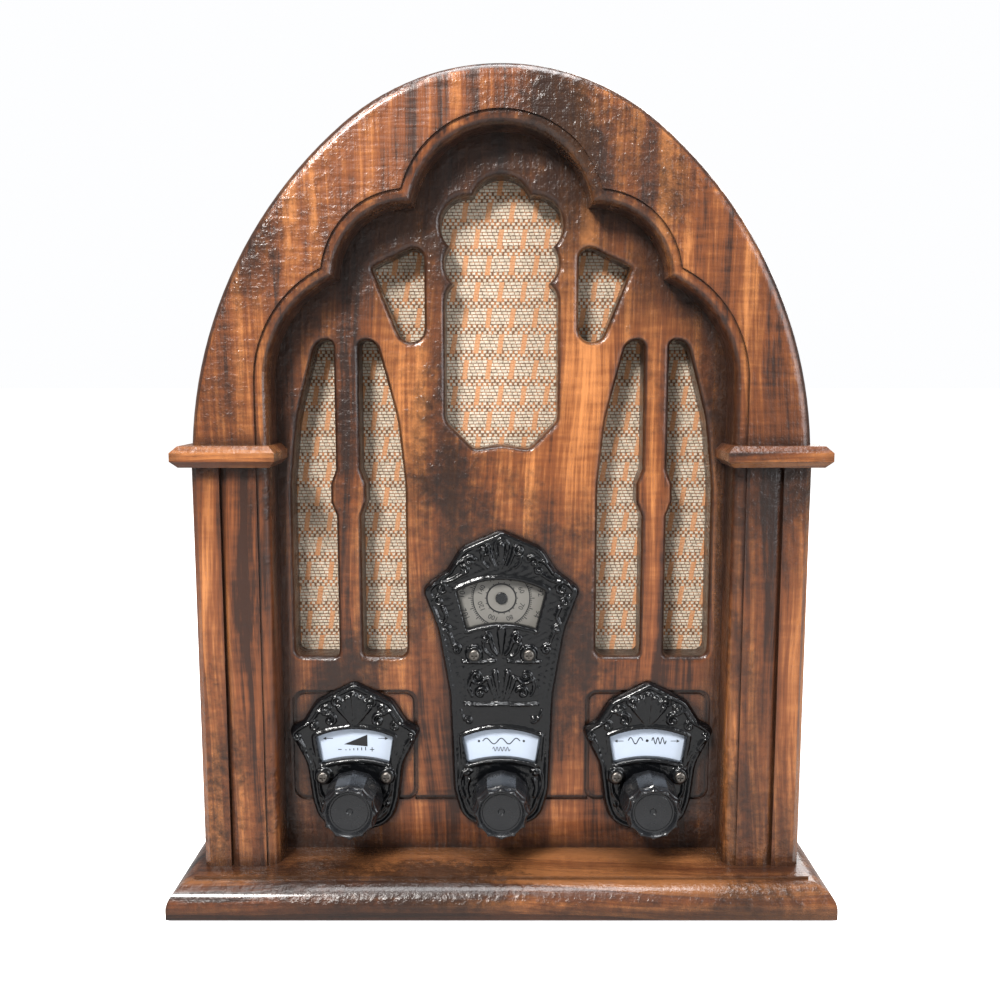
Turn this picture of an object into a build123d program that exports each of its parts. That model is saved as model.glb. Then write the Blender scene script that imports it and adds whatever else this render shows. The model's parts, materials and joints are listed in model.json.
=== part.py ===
from build123d import *
from math import atan2, cos, radians, sin
import os

# A tabletop radio in an arched wooden cabinet, in millimetres.
# +Z is up, the front faces -Y, and the origin is the middle of the underside.

# overall sizes
overall_height = 400
base_width = 320
base_depth = 200
base_front = -base_depth / 2
base_back = base_depth / 2

# feet and base plank
pad_height = 1.5
pad_radius = 9
pad_inset = 24
base_top = 18
lip_height = 1.5
lip_setback = 11
moulding_radius = 10.5

# cabinet outline: upright sides, two flank arcs and a crown arc
cabinet_half = 147
spring_height = 215
crown_radius = 113.5
crown_height = overall_height - crown_radius
shell_wall = 8

# depth layers, measured from the face of the fretwork panel
panel_face = base_front + 41
panel_thickness = 15
frame_thickness = 20
ledge_thickness = 30
cloth_thickness = 1
baffle_thickness = 6
wood_screw_radius = 1.6
chassis_depth = 25
sheet_steel = 1.5

# columns and ledges
column_inner = 110
column_outer_chamfer = 3
column_groove = 13.5
groove_depth = 2
groove_slope = 4
ledge_bottom = 216.5
ledge_top = 226.5
ledge_inner = 105
ledge_outer = 153.5
ledge_chamfer = 3

# scalloped edge of the arch frame: x, z and radius of each lobe at the front face
scallop_half = 116
scallop_lobes = [(0, 331.3, 48), (43.1, 303.4, 40.7), (57.4, 256, 58.6)]
scallop_edge = 6
scallop_step = 1.2
arch_edge_radius = 5.5

# fretwork panel: its routed grooves, and its windows, rounded by this radius at the panel's face
window_round = 3
window_pair_centre = 75.6
routed_depth = 1.5
routed_width = 2.2
block_leg = 14
block_height = 84

# control centres
control_x = 74
control_row = (-control_x, 0, control_x)
control_z = 48
dial_z = 148.7
dial_radius = 25
plate_thickness = 6
plate_bevel = 1.2
plate_screw_radius = 1.5
plate_screw_reach = 9
shaft_radius = 3
hub_radius = 2.2
bushing_radius = 4.2
fixed_gap = 0.02
running_gap = 0.05
label_thickness = 0.4
knob_length = 20
knob_foot_radius = 14.8
knob_top_radius = 13.2
knob_facets = 12

# speaker
speaker_z = 285
speaker_hole = 44
speaker_screw_circle = 51.2

# dial cord drive: groove radii of the dial drum and of the tuning shaft's pulley
drum_radius = 19.5
pulley_radius = 6.5
cord_layer = 19.5
dial_front = panel_face + 0.8

# electronics on the base: circuit board, aerial rod and transformer
board_x = (-24, 96)
board_y = (panel_face + 72, panel_face + 142)
board_z = (base_top + 8, base_top + 9.6)
rod_x = 37
rod_y = board_y[1] - 12
rod_z = board_z[1] + 22
rod_radius = 5
transformer_x = (-104, -56)
transformer_y = (panel_face + 86, panel_face + 128)
transformer_top = base_top + 42

# rear cover, its frame, vents and cable gland
cover_front = base_back - 12
cover_thickness = 3
cover_frame_thickness = 10
vent_pitch_x = 38
vent_pitch_z = 16
gland_x = -92
gland_z = 42
gland_radius = 6.4
gland_bore = 3.5


def behind(distance):
    return panel_face + distance


def ahead(distance):
    return panel_face - distance


def upright(y):
    return Plane(origin=(0, y, 0), x_dir=(1, 0, 0), z_dir=(0, -1, 0))


def slab(sketch, front, back):
    # an upright sketch in x and z, made solid from its front y to its back y
    return extrude(upright(back) * sketch, back - front)


def disc(x, z, radius, front, back):
    return slab(Pos(x, z) * Circle(radius), front, back)


def tube(x, z, radius, bore, front, back):
    return slab(Pos(x, z) * (Circle(radius) - Circle(bore)), front, back)


def block(x_span, y_span, z_span):
    spans = (x_span, y_span, z_span)
    middle = [(low + high) / 2 for low, high in spans]
    size = [high - low for low, high in spans]
    return Pos(*middle) * Box(*size)


def area(x_span, z_span):
    middle = Pos((x_span[0] + x_span[1]) / 2, (z_span[0] + z_span[1]) / 2)
    return middle * Rectangle(x_span[1] - x_span[0], z_span[1] - z_span[0])


def both_sides(sketch):
    return sketch + mirror(sketch, Plane.YZ)


def rounded_polygon(corners):
    # a face from the x, z and rounding radius of each corner
    outline = make_face(Polyline(*[(x, z) for x, z, radius in corners], close=True))
    for x, z, radius in corners:
        if radius:
            outline = fillet(outline.vertices().sort_by_distance((x, z))[0], radius)
    return outline


def rounded_outline(corners):
    # the same, from the corners down the right side only
    left = [(-x, z, radius) for x, z, radius in reversed(corners) if x > 0]
    return rounded_polygon(corners + left)


def cut_window(panel, window):
    # cuts one window through the panel and rounds its edge at the panel's face
    panel = panel - slab(window, panel_face, behind(panel_thickness))
    middle = upright(panel_face) * Pos(window.bounding_box().center())
    mouths = panel.faces().sort_by(Axis.Y)[0].inner_wires()
    mouth = mouths.sort_by_distance(middle.position)[0]
    return fillet(mouth.edges(), window_round)


def arch_outline(inset, bottom):
    half = cabinet_half - inset
    rise = crown_height - spring_height
    reach = (cabinet_half**2 + rise**2 - crown_radius**2) / (2 * (cabinet_half - crown_radius))
    flank_x = cabinet_half - reach
    swing = atan2(rise, -flank_x)
    flank = reach - inset
    join = (flank_x + flank * cos(swing), spring_height + flank * sin(swing))
    middle = (flank_x + flank * cos(swing / 2), spring_height + flank * sin(swing / 2))
    crown = crown_height + crown_radius - inset
    right = [
        Line((half, bottom), (half, spring_height)),
        ThreePointArc((half, spring_height), middle, join),
    ]
    top = ThreePointArc(join, (0, crown), (-join[0], join[1]))
    left = [mirror(curve, Plane.YZ) for curve in right]
    return make_face(right + [top] + left + [Line((-half, bottom), (half, bottom))])


def scallop_outline(inset, bottom):
    side_x, side_z, side_radius = scallop_lobes[-1]
    half = scallop_half - inset
    outline = area((-half, half), (bottom, side_z))
    outline += area((-side_x, side_x), (side_z, 300))
    for x, z, radius in scallop_lobes:
        outline += both_sides(Pos(x, z) * Circle(radius - inset))
    return outline


# ---- wooden cabinet ----

def base_plank():
    half = base_width / 2
    plank = block((-half, half), (base_front, base_back), (pad_height, base_top - lip_height))
    top = plank.faces().sort_by(Axis.Z)[-1]
    moulded = [edge for edge in top.edges() if edge.center().Y < base_back - 1]
    plank = fillet(moulded, moulding_radius)
    lip_half = half - lip_setback
    lip_front = base_front + lip_setback
    plank += block((-lip_half, lip_half), (lip_front, base_back), (base_top - lip_height, base_top))
    return plank


def feet():
    x = base_width / 2 - pad_inset
    y = base_depth / 2 - pad_inset
    pads = [Pos(sx * x, sy * y, pad_height / 2) for sx in (-1, 1) for sy in (-1, 1)]
    return [pad * Cylinder(pad_radius, pad_height) for pad in pads]


def cabinet_shell():
    outline = arch_outline(0, base_top) - arch_outline(shell_wall, base_top - 1)
    return slab(outline, behind(panel_thickness), base_back)


def arch_frame():
    # made with a closed opening, so that its edge can be rounded, then cut off at the ledges
    front = ahead(frame_thickness)
    floor = front + scallop_step
    below = ledge_top - 30
    frame = slab(arch_outline(0, below), front, panel_face)
    face = frame.faces().sort_by(Axis.Y)[0]
    frame = fillet([edge for edge in face.edges() if edge.center().Z > below + 1], arch_edge_radius)
    frame -= slab(scallop_outline(scallop_edge, below + 10), front, panel_face)
    frame -= slab(scallop_outline(0, below + 4), front, floor)
    step = [face for face in frame.faces() if abs(face.center().Y - floor) < 0.01][0]
    frame = fillet(step.inner_wires()[0].edges(), scallop_edge - scallop_step)
    return frame - block((-200, 200), (-150, 0), (0, ledge_top))


def column(side):
    # seen from above, from the outer corner to the inner wall
    front = ahead(frame_thickness)
    outer = cabinet_half
    groove = outer - column_groove
    slope = groove - groove_slope
    band = scallop_half
    floor = front + scallop_step
    bead = scallop_edge - scallop_step
    bead_start = band - (scallop_edge - bead)
    corner_cut = bead * (1 - sin(radians(45)))
    corner = (column_inner + corner_cut, floor + corner_cut)
    outline = make_face([
        Line((outer, panel_face), (outer, front + column_outer_chamfer)),
        Line((outer, front + column_outer_chamfer), (outer - column_outer_chamfer, front)),
        Line((outer - column_outer_chamfer, front), (groove, front)),
        Line((groove, front), (groove, front + groove_depth)),
        Line((groove, front + groove_depth), (slope, front)),
        Line((slope, front), (band, front)),
        Line((band, front), (band, floor)),
        Line((band, floor), (bead_start, floor)),
        ThreePointArc((bead_start, floor), corner, (column_inner, floor + bead)),
        Line((column_inner, floor + bead), (column_inner, panel_face)),
        Line((column_inner, panel_face), (outer, panel_face)),
    ])
    post = extrude(Pos(0, 0, base_top) * outline, ledge_bottom - base_top)
    return post if side > 0 else mirror(post, Plane.YZ)


def ledge(side):
    depth = (ahead(ledge_thickness), panel_face)
    bar = block((ledge_inner, ledge_outer), depth, (ledge_bottom, ledge_top))
    flat = bar.edges().filter_by(Axis.Z, reverse=True)
    shaped = [edge for edge in flat if edge.center().Y < panel_face - 1]
    bar = chamfer(shaped, ledge_chamfer)
    return bar if side > 0 else mirror(bar, Plane.YZ)


# ---- fretwork panel ----

def centre_window():
    # a crown lobe, then shoulder, waist and hip lobes, above a long panel with clipped lower corners
    lobes = [(0, 339, 14.9), (15.6, 330.8, 13.8), (14.5, 313, 13), (15.7, 294.5, 11.5)]
    half = 27.2
    shape = rounded_outline([(half, 294.5, 0), (half, 237, 7), (13.4, 223.2, 5), (0, 225.6, 30)])
    shape += area((-12, 12), (290, 334))
    for x, z, radius in lobes:
        shape += both_sides(Pos(x, z) * Circle(radius))
    return shape


def teardrop_window():
    corners = [(44, 282, 6.6), (60.6, 310, 1.6), (42.5, 314.8, 5.1)]
    circles = [Pos(x, z) * Circle(radius) for x, z, radius in corners]
    return make_hull([circle.edge() for circle in circles])


def tall_window():
    # one of a pair, measured outwards from the middle of the mullion between them
    inner = 6.2
    bulge = 8.9
    outer = 28
    sill = 118.8
    top = 276
    return rounded_polygon([
        (inner, sill, 2.5), (inner, 190, 4), (bulge, 197, 2), (bulge, 206, 2), (inner, 213, 4),
        (inner, top, 3), (14.6, top, 6.4), (24.6, 238, 80), (outer, 205, 80), (outer, sill, 4),
    ])


def windows():
    outer = Pos(window_pair_centre, 0) * tall_window()
    inner = Pos(window_pair_centre, 0) * mirror(tall_window(), Plane.YZ)
    right = [outer, inner, teardrop_window()]
    return [centre_window()] + right + [mirror(window, Plane.YZ) for window in right]


def routed_grooves():
    width = routed_width
    low = 45
    high = 100.5
    size = Pos(control_x, (low + high) / 2)
    outer = RectangleRounded(61 + width, high - low + width, 6)
    ring = outer - RectangleRounded(61 - width, high - low - width, 4)
    line = area((-44, 44), (low - width / 2, low + width / 2))
    return both_sides(size * ring) + line


def plate_screw_points():
    sides = [(sx * control_x + dx, 58.3) for sx in (-1, 1) for dx in (-16, 16)]
    return sides + [(-13.6, 121.4), (13.6, 121.4)]


def front_panel():
    back = behind(panel_thickness)
    panel = slab(arch_outline(0, base_top), panel_face, back)
    for window in windows():
        panel = cut_window(panel, window)
    panel -= slab(routed_grooves(), panel_face, behind(routed_depth))
    panel -= disc(0, dial_z, dial_radius + 2, panel_face, back)
    for x in control_row:
        panel -= disc(x, control_z, 4.5, panel_face, back)
    for x, z in plate_screw_points():
        panel -= disc(x, z, plate_screw_radius, panel_face, behind(plate_screw_reach))
    return panel


def front_blocks():
    back = behind(panel_thickness)
    inner = cabinet_half - shell_wall
    blocks = []
    for side in (-1, 1):
        corners = [(side * inner, back), (side * (inner - block_leg), back), (side * inner, back + block_leg)]
        triangle = make_face(Polyline(*corners, close=True))
        blocks.append(extrude(Pos(0, 0, base_top) * triangle, block_height))
    return blocks


# ---- grille and speaker ----

def cloth_outline():
    # the dial drum's hub passes through the round hole
    return arch_outline(24, 110) - Pos(0, dial_z) * Circle(18)


def grille_cloth():
    return slab(cloth_outline(), behind(panel_thickness), behind(panel_thickness + cloth_thickness))


def baffle_layer():
    front = behind(panel_thickness + cloth_thickness)
    return front, front + baffle_thickness


def baffle_screw_points():
    return [(sx * x, z) for sx in (-1, 1) for x, z in ((116, 208), (92, 300), (38, 374))]


def speaker_baffle():
    front, back = baffle_layer()
    board = slab(arch_outline(20, 196), front, back) - disc(0, speaker_z, speaker_hole, front, back)
    for x, z in speaker_screw_points():
        board -= disc(x, z, wood_screw_radius, front, back)
    for x, z in baffle_screw_points():
        board -= disc(x, z, wood_screw_radius, front, back)
    return board


def window_backing(side):
    front, back = baffle_layer()
    board = slab(area((40, cabinet_half - 20), (108, 196)), front, back)
    return board if side > 0 else mirror(board, Plane.YZ)


def baffle_screws():
    back = baffle_layer()[1]
    screws = []
    for x, z in baffle_screw_points():
        shank = disc(x, z, wood_screw_radius, back - baffle_thickness, back)
        screws.append(shank + disc(x, z, 3, back, back + 1.6))
    return screws


def speaker_screw_points():
    reach = speaker_screw_circle * cos(radians(45))
    return [(sx * reach, speaker_z + sz * reach) for sx in (-1, 1) for sz in (-1, 1)]


def turned(profile):
    # turns a profile of radius and y about the speaker's axis
    face = make_face(Polyline(*[(radius, y) for radius, y in profile], close=True))
    return Pos(0, 0, speaker_z) * revolve(face, Axis.Y)


def speaker_frame():
    back = baffle_layer()[1]
    basket = turned([
        (44.2, back), (54, back), (54, back + 1.5), (48, back + 1.5),
        (27.5, back + 18), (27.5, back + 20), (12, back + 20), (12, back + 18.5),
        (26, back + 18.5), (26, back + 17), (45.5, back + 1.5), (44.2, back + 1.5),
    ])
    for turn in range(4):
        window = extrude(Pos(0, 0, -60) * Rectangle(16, 12), 120)
        cut = Pos(0, back + 9.5, speaker_z) * Rot(0, 45 * turn + 22.5, 0) * window
        basket -= cut
    for x, z in speaker_screw_points():
        basket -= disc(x, z, wood_screw_radius, back, back + 2)
    return basket


def speaker_screws():
    back = baffle_layer()[1]
    screws = []
    for x, z in speaker_screw_points():
        shank = disc(x, z, wood_screw_radius, back - baffle_thickness, back + 1.5)
        screws.append(shank + disc(x, z, 2.7, back + 1.5, back + 3.3))
    return screws


def speaker_surround():
    back = baffle_layer()[1]
    return turned([
        (38.9, back + 4.4), (43.2, back + 0.2), (44.2, back + 0.2),
        (44.2, back + 1.4), (43.8, back + 1.4), (39.6, back + 5.2),
    ])


def speaker_cone():
    back = baffle_layer()[1]
    return turned([
        (11, back + 13.6), (38.3, back + 4.6), (38.3, back + 5.6), (11.2, back + 14.6),
        (11.2, back + 23), (10.4, back + 23), (10.4, back + 13.6),
    ])


def dust_cap():
    rim = baffle_layer()[1] + 13.6
    radius = 17.2
    dome = Pos(0, rim + 13.7, speaker_z) * (Sphere(radius) - Sphere(radius - 0.8))
    return dome & disc(0, speaker_z, 10.4, rim - 4, rim)


def speaker_magnet():
    plate = baffle_layer()[1] + 20
    return turned([
        (11.6, plate), (24, plate), (24, plate + 3), (28, plate + 3), (28, plate + 14),
        (24, plate + 14), (24, plate + 17), (0, plate + 17), (0, plate - 1),
        (9.8, plate - 1), (9.8, plate + 12), (11.6, plate + 12),
    ])


# ---- escutcheon plates and labels ----

def side_plate_outline():
    # centred on its control, pointed at the top and widest at two rounded shoulders
    return rounded_outline([
        (0, 106.8, 5), (19.5, 97, 9), (26, 86.6, 4), (33.6, 82, 3.2),
        (24.6, 64, 20), (22.3, 45, 30), (18.6, 32.6, 14), (0, 26.6, 34),
    ])


def centre_plate_outline():
    return rounded_outline([
        (0, 183.8, 5), (20.5, 174.8, 12), (27.2, 163.8, 6), (39.6, 154.2, 4.5),
        (31.8, 133.5, 40), (26.1, 100, 60), (24.4, 50, 30), (20, 35.5, 12), (0, 26, 30),
    ])


def arched_window(top_half, bottom_half, corner, crown, sill, middle):
    # heights of the upper corners, upper middle, lower corners and lower middle
    return make_face([
        ThreePointArc((-top_half, corner), (0, crown), (top_half, corner)),
        Line((top_half, corner), (bottom_half, sill)),
        ThreePointArc((bottom_half, sill), (0, middle), (-bottom_half, sill)),
        Line((-bottom_half, sill), (-top_half, corner)),
    ])


def dial_window():
    return arched_window(21.8, 17, 152.9, 158.6, 134, 136.9)


def label_window():
    return arched_window(19, 17, 78, 82, 64.6, 67.3)


def label_card():
    return arched_window(21, 19, 79.5, 83.5, 62.6, 65.3)


def plate(outline, x, openings):
    front = ahead(plate_thickness)
    body = slab(outline, front, panel_face)
    body = chamfer(body.faces().sort_by(Axis.Y)[0].outer_wire().edges(), plate_bevel)
    for opening in openings:
        body -= slab(opening, front, panel_face)
    body -= slab(label_card(), ahead(label_thickness + 0.1), panel_face)
    body -= disc(0, control_z, 5.5, front, panel_face)
    body = Pos(x, 0, 0) * body
    for screw_x, screw_z in plate_screw_points():
        body -= disc(screw_x, screw_z, plate_screw_radius, front, panel_face)
    return body


def centre_plate():
    return plate(centre_plate_outline(), 0, [dial_window(), label_window()])


def side_plate(side):
    return plate(side_plate_outline(), side * control_x, [label_window()])


def label(x):
    return Pos(x, 0, 0) * slab(label_card(), ahead(label_thickness), panel_face)


def plate_screws():
    front = ahead(plate_thickness)
    screws = []
    for x, z in plate_screw_points():
        head = disc(x, z, 2.8, front - 1.8, front)
        head = fillet(head.faces().sort_by(Axis.Y)[0].edges(), 1.1)
        head -= slab(Pos(x, z) * (Rectangle(3, 0.7) + Rectangle(0.7, 3)), front - 1.8, front - 0.8)
        screws.append(head + disc(x, z, plate_screw_radius, front, behind(plate_screw_reach)))
    return screws


# ---- controls ----

def knob(x):
    # a tapering knob with flat facets and a dished face
    back = ahead(plate_thickness + 1.5)
    front = back - knob_length
    foot = upright(back) * (Pos(x, control_z) * RegularPolygon(knob_foot_radius, knob_facets))
    top = upright(front + 2) * (Pos(x, control_z) * RegularPolygon(knob_top_radius, knob_facets))
    body = loft([foot, top])
    crest = disc(x, control_z, 12.6, front, front + 2)
    crest = chamfer(crest.faces().sort_by(Axis.Y)[0].edges(), 1)
    body += crest
    body -= disc(x, control_z, 9.6, front, front + 1.2)
    body -= disc(x, control_z, 1.6, front, front + 2)
    return body - disc(x, control_z, shaft_radius + fixed_gap, back - 14, back)


def control_shaft(x, back):
    return disc(x, control_z, shaft_radius, ahead(plate_thickness + 15), back)


def bushing(x, z, front, back):
    return tube(x, z, bushing_radius, shaft_radius + running_gap, front, back)


def volume_pot():
    front = behind(chassis_depth)
    back = front + sheet_steel
    x = -control_x
    pot = bushing(x, control_z, front - 5, back)
    pot += tube(x, control_z, 12, shaft_radius + running_gap, back, back + 9)
    pot += disc(x, control_z, 12, back + 9, back + 11)
    pot += disc(x, control_z, 10.5, back + 11, back + 22)
    for dx in (-5, 0, 5):
        pot += block((x + dx - 1, x + dx + 1), (back + 3, back + 3.8), (control_z - 18, control_z - 10))
    return pot


def band_switch():
    front = behind(chassis_depth)
    back = front + sheet_steel
    x = control_x
    switch = bushing(x, control_z, front - 5, back)
    switch += tube(x, control_z, 13, shaft_radius + running_gap, back, back + 7)
    switch += disc(x, control_z, 13, back + 7, back + 9)
    wafer = slab(Pos(x, control_z) * RegularPolygon(16, 8), back + 9, back + 10.6)
    return switch + wafer


def tuning_bearing():
    front = behind(chassis_depth)
    bearing = bushing(0, control_z, front - 1, front + 12)
    return bearing + tube(0, control_z, 6.5, bushing_radius, front + sheet_steel, front + 4)


def control_nut(x):
    front = behind(chassis_depth)
    return slab(Pos(x, control_z) * (RegularPolygon(6.4, 6) - Circle(bushing_radius)), front - 2.4, front)


def tuning_pulley():
    layer = behind(cord_layer)
    pulley = tube(0, control_z, pulley_radius, shaft_radius + fixed_gap, layer - 1, layer + 1)
    for face in (layer - 1.8, layer + 1):
        pulley += tube(0, control_z, pulley_radius + 2, shaft_radius + fixed_gap, face, face + 0.8)
    return pulley


def dial_disc():
    return tube(0, dial_z, dial_radius, hub_radius, dial_front, dial_front + 1)


def dial_drum():
    layer = behind(cord_layer)
    drum = tube(0, dial_z, 6, hub_radius, dial_front + 1, layer - 1.8)
    drum += disc(0, dial_z, drum_radius, layer - 1, layer + 1)
    for face in (layer - 1.8, layer + 1):
        drum += disc(0, dial_z, drum_radius + 2, face, face + 0.8)
    drum -= disc(0, dial_z, shaft_radius, layer - 1.8, layer + 2)
    spoke_circle = 12.6
    for turn in range(4):
        angle = radians(45 + 90 * turn)
        drum -= disc(spoke_circle * cos(angle), dial_z + spoke_circle * sin(angle), 4, layer - 2, layer + 2)
    return drum


def dial_shaft():
    return disc(0, dial_z, shaft_radius, behind(cord_layer - 1.8), behind(44))


def dial_cap():
    cap = disc(0, dial_z, hub_radius, dial_front, dial_front + 5.2)
    cap += disc(0, dial_z, 3, dial_front - 1, dial_front)
    return fillet(cap.faces().sort_by(Axis.Y)[0].edges(), 0.5)


def dial_cord():
    layer = behind(cord_layer)
    gap = 0.3
    width = 0.9

    def loop(clearance):
        drum = Pos(0, dial_z) * Circle(drum_radius + clearance)
        pulley = Pos(0, control_z) * Circle(pulley_radius + clearance)
        return make_hull([drum.edge(), pulley.edge()])

    return slab(loop(gap + width) - loop(gap), layer - width / 2, layer + width / 2)


def tuning_capacitor():
    back = behind(chassis_depth) + sheet_steel
    body = slab(Pos(0, dial_z) * RectangleRounded(34, 34, 3), back, back + 24)
    body += disc(0, dial_z, 6, back - sheet_steel, back)
    return body - disc(0, dial_z, shaft_radius + running_gap, back - sheet_steel, back + 18)


# ---- chassis and electronics ----

def chassis():
    front = behind(chassis_depth)
    back = front + sheet_steel
    steel_top = base_top + sheet_steel
    strip = area((-96, 96), (base_top, 76)) + area((-30, 30), (76, 176))
    bracket = slab(strip, front, back)
    bracket += block((-96, 96), (front, front + 34), (base_top, steel_top))
    for x in control_row:
        bracket -= disc(x, control_z, bushing_radius, front, back)
    bracket -= disc(0, dial_z, 6, front, back)
    for x, y in chassis_screw_points():
        bracket -= Pos(x, y, base_top) * Cylinder(1.8, 2 * sheet_steel)
    return bracket


def chassis_screw_points():
    y = behind(chassis_depth + 24)
    return [(x, y) for x in (-86, -30, 30, 86)]


def chassis_screws():
    top = base_top + sheet_steel
    screws = []
    for x, y in chassis_screw_points():
        shank = Pos(x, y, top - sheet_steel / 2) * Cylinder(1.8, sheet_steel)
        screws.append(shank + Pos(x, y, top + 1) * Cylinder(3.4, 2))
    return screws


def board_corners():
    return [(x, y) for x in (board_x[0] + 5, board_x[1] - 5) for y in (board_y[0] + 5, board_y[1] - 5)]


def circuit_board():
    board = block(board_x, board_y, board_z)
    for x, y in board_corners():
        board -= Pos(x, y, board_z[0]) * Cylinder(wood_screw_radius, 6)
    return board


def board_standoffs():
    height = board_z[0] - base_top
    return [Pos(x, y, base_top + height / 2) * Cylinder(3.2, height) for x, y in board_corners()]


def board_screws():
    screws = []
    thickness = board_z[1] - board_z[0]
    for x, y in board_corners():
        shank = Pos(x, y, board_z[0] + thickness / 2) * Cylinder(wood_screw_radius, thickness)
        screws.append(shank + Pos(x, y, board_z[1] + 0.9) * Cylinder(2.9, 1.8))
    return screws


def filter_capacitors():
    places = [(-8, 30, 8, 25), (12, 30, 8, 25), (30, 34, 5, 14)]
    return [
        Pos(x, board_y[0] + y, board_z[1] + height / 2) * Cylinder(radius, height)
        for x, y, radius, height in places
    ]


def coil_cans():
    y = board_y[0] + 14
    return [block((x, x + 10), (y, y + 10), (board_z[1], board_z[1] + 13)) for x in (48, 62, 76)]


def amplifier_heatsink():
    x, y = 46, board_y[0] + 34
    sink = block((x, x + 30), (y, y + 2.5), (board_z[1], board_z[1] + 24))
    for fin in range(5):
        start = x + 7 * fin
        sink += block((start, start + 2), (y + 2.5, y + 12), (board_z[1], board_z[1] + 24))
    return sink


def rod_holders():
    holders = []
    for x in (-10, 78):
        post = block((x, x + 6), (rod_y - 7, rod_y + 7), (board_z[1], board_z[1] + 30))
        holders.append(post - Pos(x + 3, rod_y, rod_z) * Rot(0, 90, 0) * Cylinder(rod_radius, 8))
    return holders


def ferrite_rod():
    return Pos(rod_x, rod_y, rod_z) * Rot(0, 90, 0) * Cylinder(rod_radius, 116)


def rod_coil():
    return Pos(rod_x, rod_y, rod_z) * Rot(0, 90, 0) * (Cylinder(6.6, 34) - Cylinder(rod_radius, 34))


def transformer_window():
    return block(
        (transformer_x[0] + 9, transformer_x[1] - 9), transformer_y, (base_top + 8, transformer_top - 8)
    )


def transformer_core():
    stack = (transformer_y[0] + 10, transformer_y[1] - 10)
    return block(transformer_x, stack, (base_top, transformer_top)) - transformer_window()


def transformer_coil():
    return transformer_window()


# ---- rear cover ----

def cover_frame():
    outline = arch_outline(shell_wall, base_top) - arch_outline(shell_wall + 12, base_top - 1)
    return slab(outline, cover_front - cover_frame_thickness, cover_front)


def cover_screw_points():
    return [(sx * x, z) for sx in (-1, 1) for x, z in ((132.5, 40), (132.5, 190), (96, 320))] + [(0, 385)]


def cover_vents():
    slots = []
    for row in range(5):
        for column_index in range(-2, 3):
            slots.append(Pos(vent_pitch_x * column_index, 240 + vent_pitch_z * row) * SlotOverall(28, 6))
    for row in range(3):
        for column_index in range(-1, 2):
            slots.append(Pos(vent_pitch_x * column_index, 70 + vent_pitch_z * row) * SlotOverall(28, 6))
    return slots


def rear_cover():
    front = cover_front
    back = front + cover_thickness
    cover = slab(arch_outline(shell_wall + 0.5, base_top + 0.5), front, back)
    for slot in cover_vents():
        cover -= slab(slot, front, back)
    for x, z in cover_screw_points():
        cover -= disc(x, z, wood_screw_radius, front, back)
    return cover - disc(gland_x, gland_z, gland_radius, front, back)


def cover_screws():
    back = cover_front + cover_thickness
    screws = []
    for x, z in cover_screw_points():
        shank = disc(x, z, wood_screw_radius, cover_front, back)
        screws.append(shank + disc(x, z, 3.2, back, back + 2))
    return screws


def cable_gland():
    back = cover_front + cover_thickness
    gland = tube(gland_x, gland_z, gland_radius, gland_bore, cover_front - 8, back)
    return gland + tube(gland_x, gland_z, 9.5, gland_bore, back, back + 3)


def gland_nut():
    ring = RegularPolygon(10, 6) - Circle(gland_radius)
    return slab(Pos(gland_x, gland_z) * ring, cover_front - 5, cover_front)


nodes = {
    "base_plank": base_plank(),
    "feet": feet(),
    "cabinet_shell": cabinet_shell(),
    "arch_frame": arch_frame(),
    "left_column": column(-1),
    "right_column": column(1),
    "left_ledge": ledge(-1),
    "right_ledge": ledge(1),
    "front_panel": front_panel(),
    "front_blocks": front_blocks(),
    "grille_cloth": grille_cloth(),
    "speaker_baffle": speaker_baffle(),
    "window_backings": [window_backing(-1), window_backing(1)],
    "baffle_screws": baffle_screws() + speaker_screws(),
    "speaker_frame": speaker_frame(),
    "speaker_surround": speaker_surround(),
    "speaker_cone": speaker_cone(),
    "dust_cap": dust_cap(),
    "speaker_magnet": speaker_magnet(),
    "centre_plate": centre_plate(),
    "volume_plate": side_plate(-1),
    "band_plate": side_plate(1),
    "tuning_label": label(0),
    "volume_label": label(-control_x),
    "band_label": label(control_x),
    "plate_screws": plate_screws(),
    "volume_knob": knob(-control_x),
    "tuning_knob": knob(0),
    "band_knob": knob(control_x),
    "volume_shaft": control_shaft(-control_x, behind(chassis_depth + 9)),
    "tuning_shaft": control_shaft(0, behind(chassis_depth + 16)),
    "band_shaft": control_shaft(control_x, behind(chassis_depth + 8)),
    "volume_pot": volume_pot(),
    "band_switch": band_switch(),
    "tuning_bearing": tuning_bearing(),
    "control_nuts": [control_nut(-control_x), control_nut(control_x)],
    "tuning_pulley": tuning_pulley(),
    "dial_disc": dial_disc(),
    "dial_drum": dial_drum(),
    "dial_shaft": dial_shaft(),
    "dial_cap": dial_cap(),
    "dial_cord": dial_cord(),
    "tuning_capacitor": tuning_capacitor(),
    "chassis": chassis(),
    "chassis_screws": chassis_screws() + board_screws(),
    "circuit_board": circuit_board(),
    "board_standoffs": board_standoffs(),
    "filter_capacitors": filter_capacitors(),
    "coil_cans": coil_cans(),
    "amplifier_heatsink": amplifier_heatsink(),
    "ferrite_antenna": ferrite_rod(),
    "antenna_coil": rod_coil(),
    "antenna_holders": rod_holders(),
    "transformer_core": transformer_core(),
    "transformer_coil": transformer_coil(),
    "cover_frame": cover_frame(),
    "rear_cover": rear_cover(),
    "cover_screws": cover_screws(),
    "cable_gland": cable_gland(),
    "gland_nut": gland_nut(),
}

os.makedirs("parts", exist_ok=True)
for name, shape in nodes.items():
    solid = Compound(children=shape) if isinstance(shape, list) else shape
    export_step(solid, f"parts/{name}.step")
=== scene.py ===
import json
import math

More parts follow.
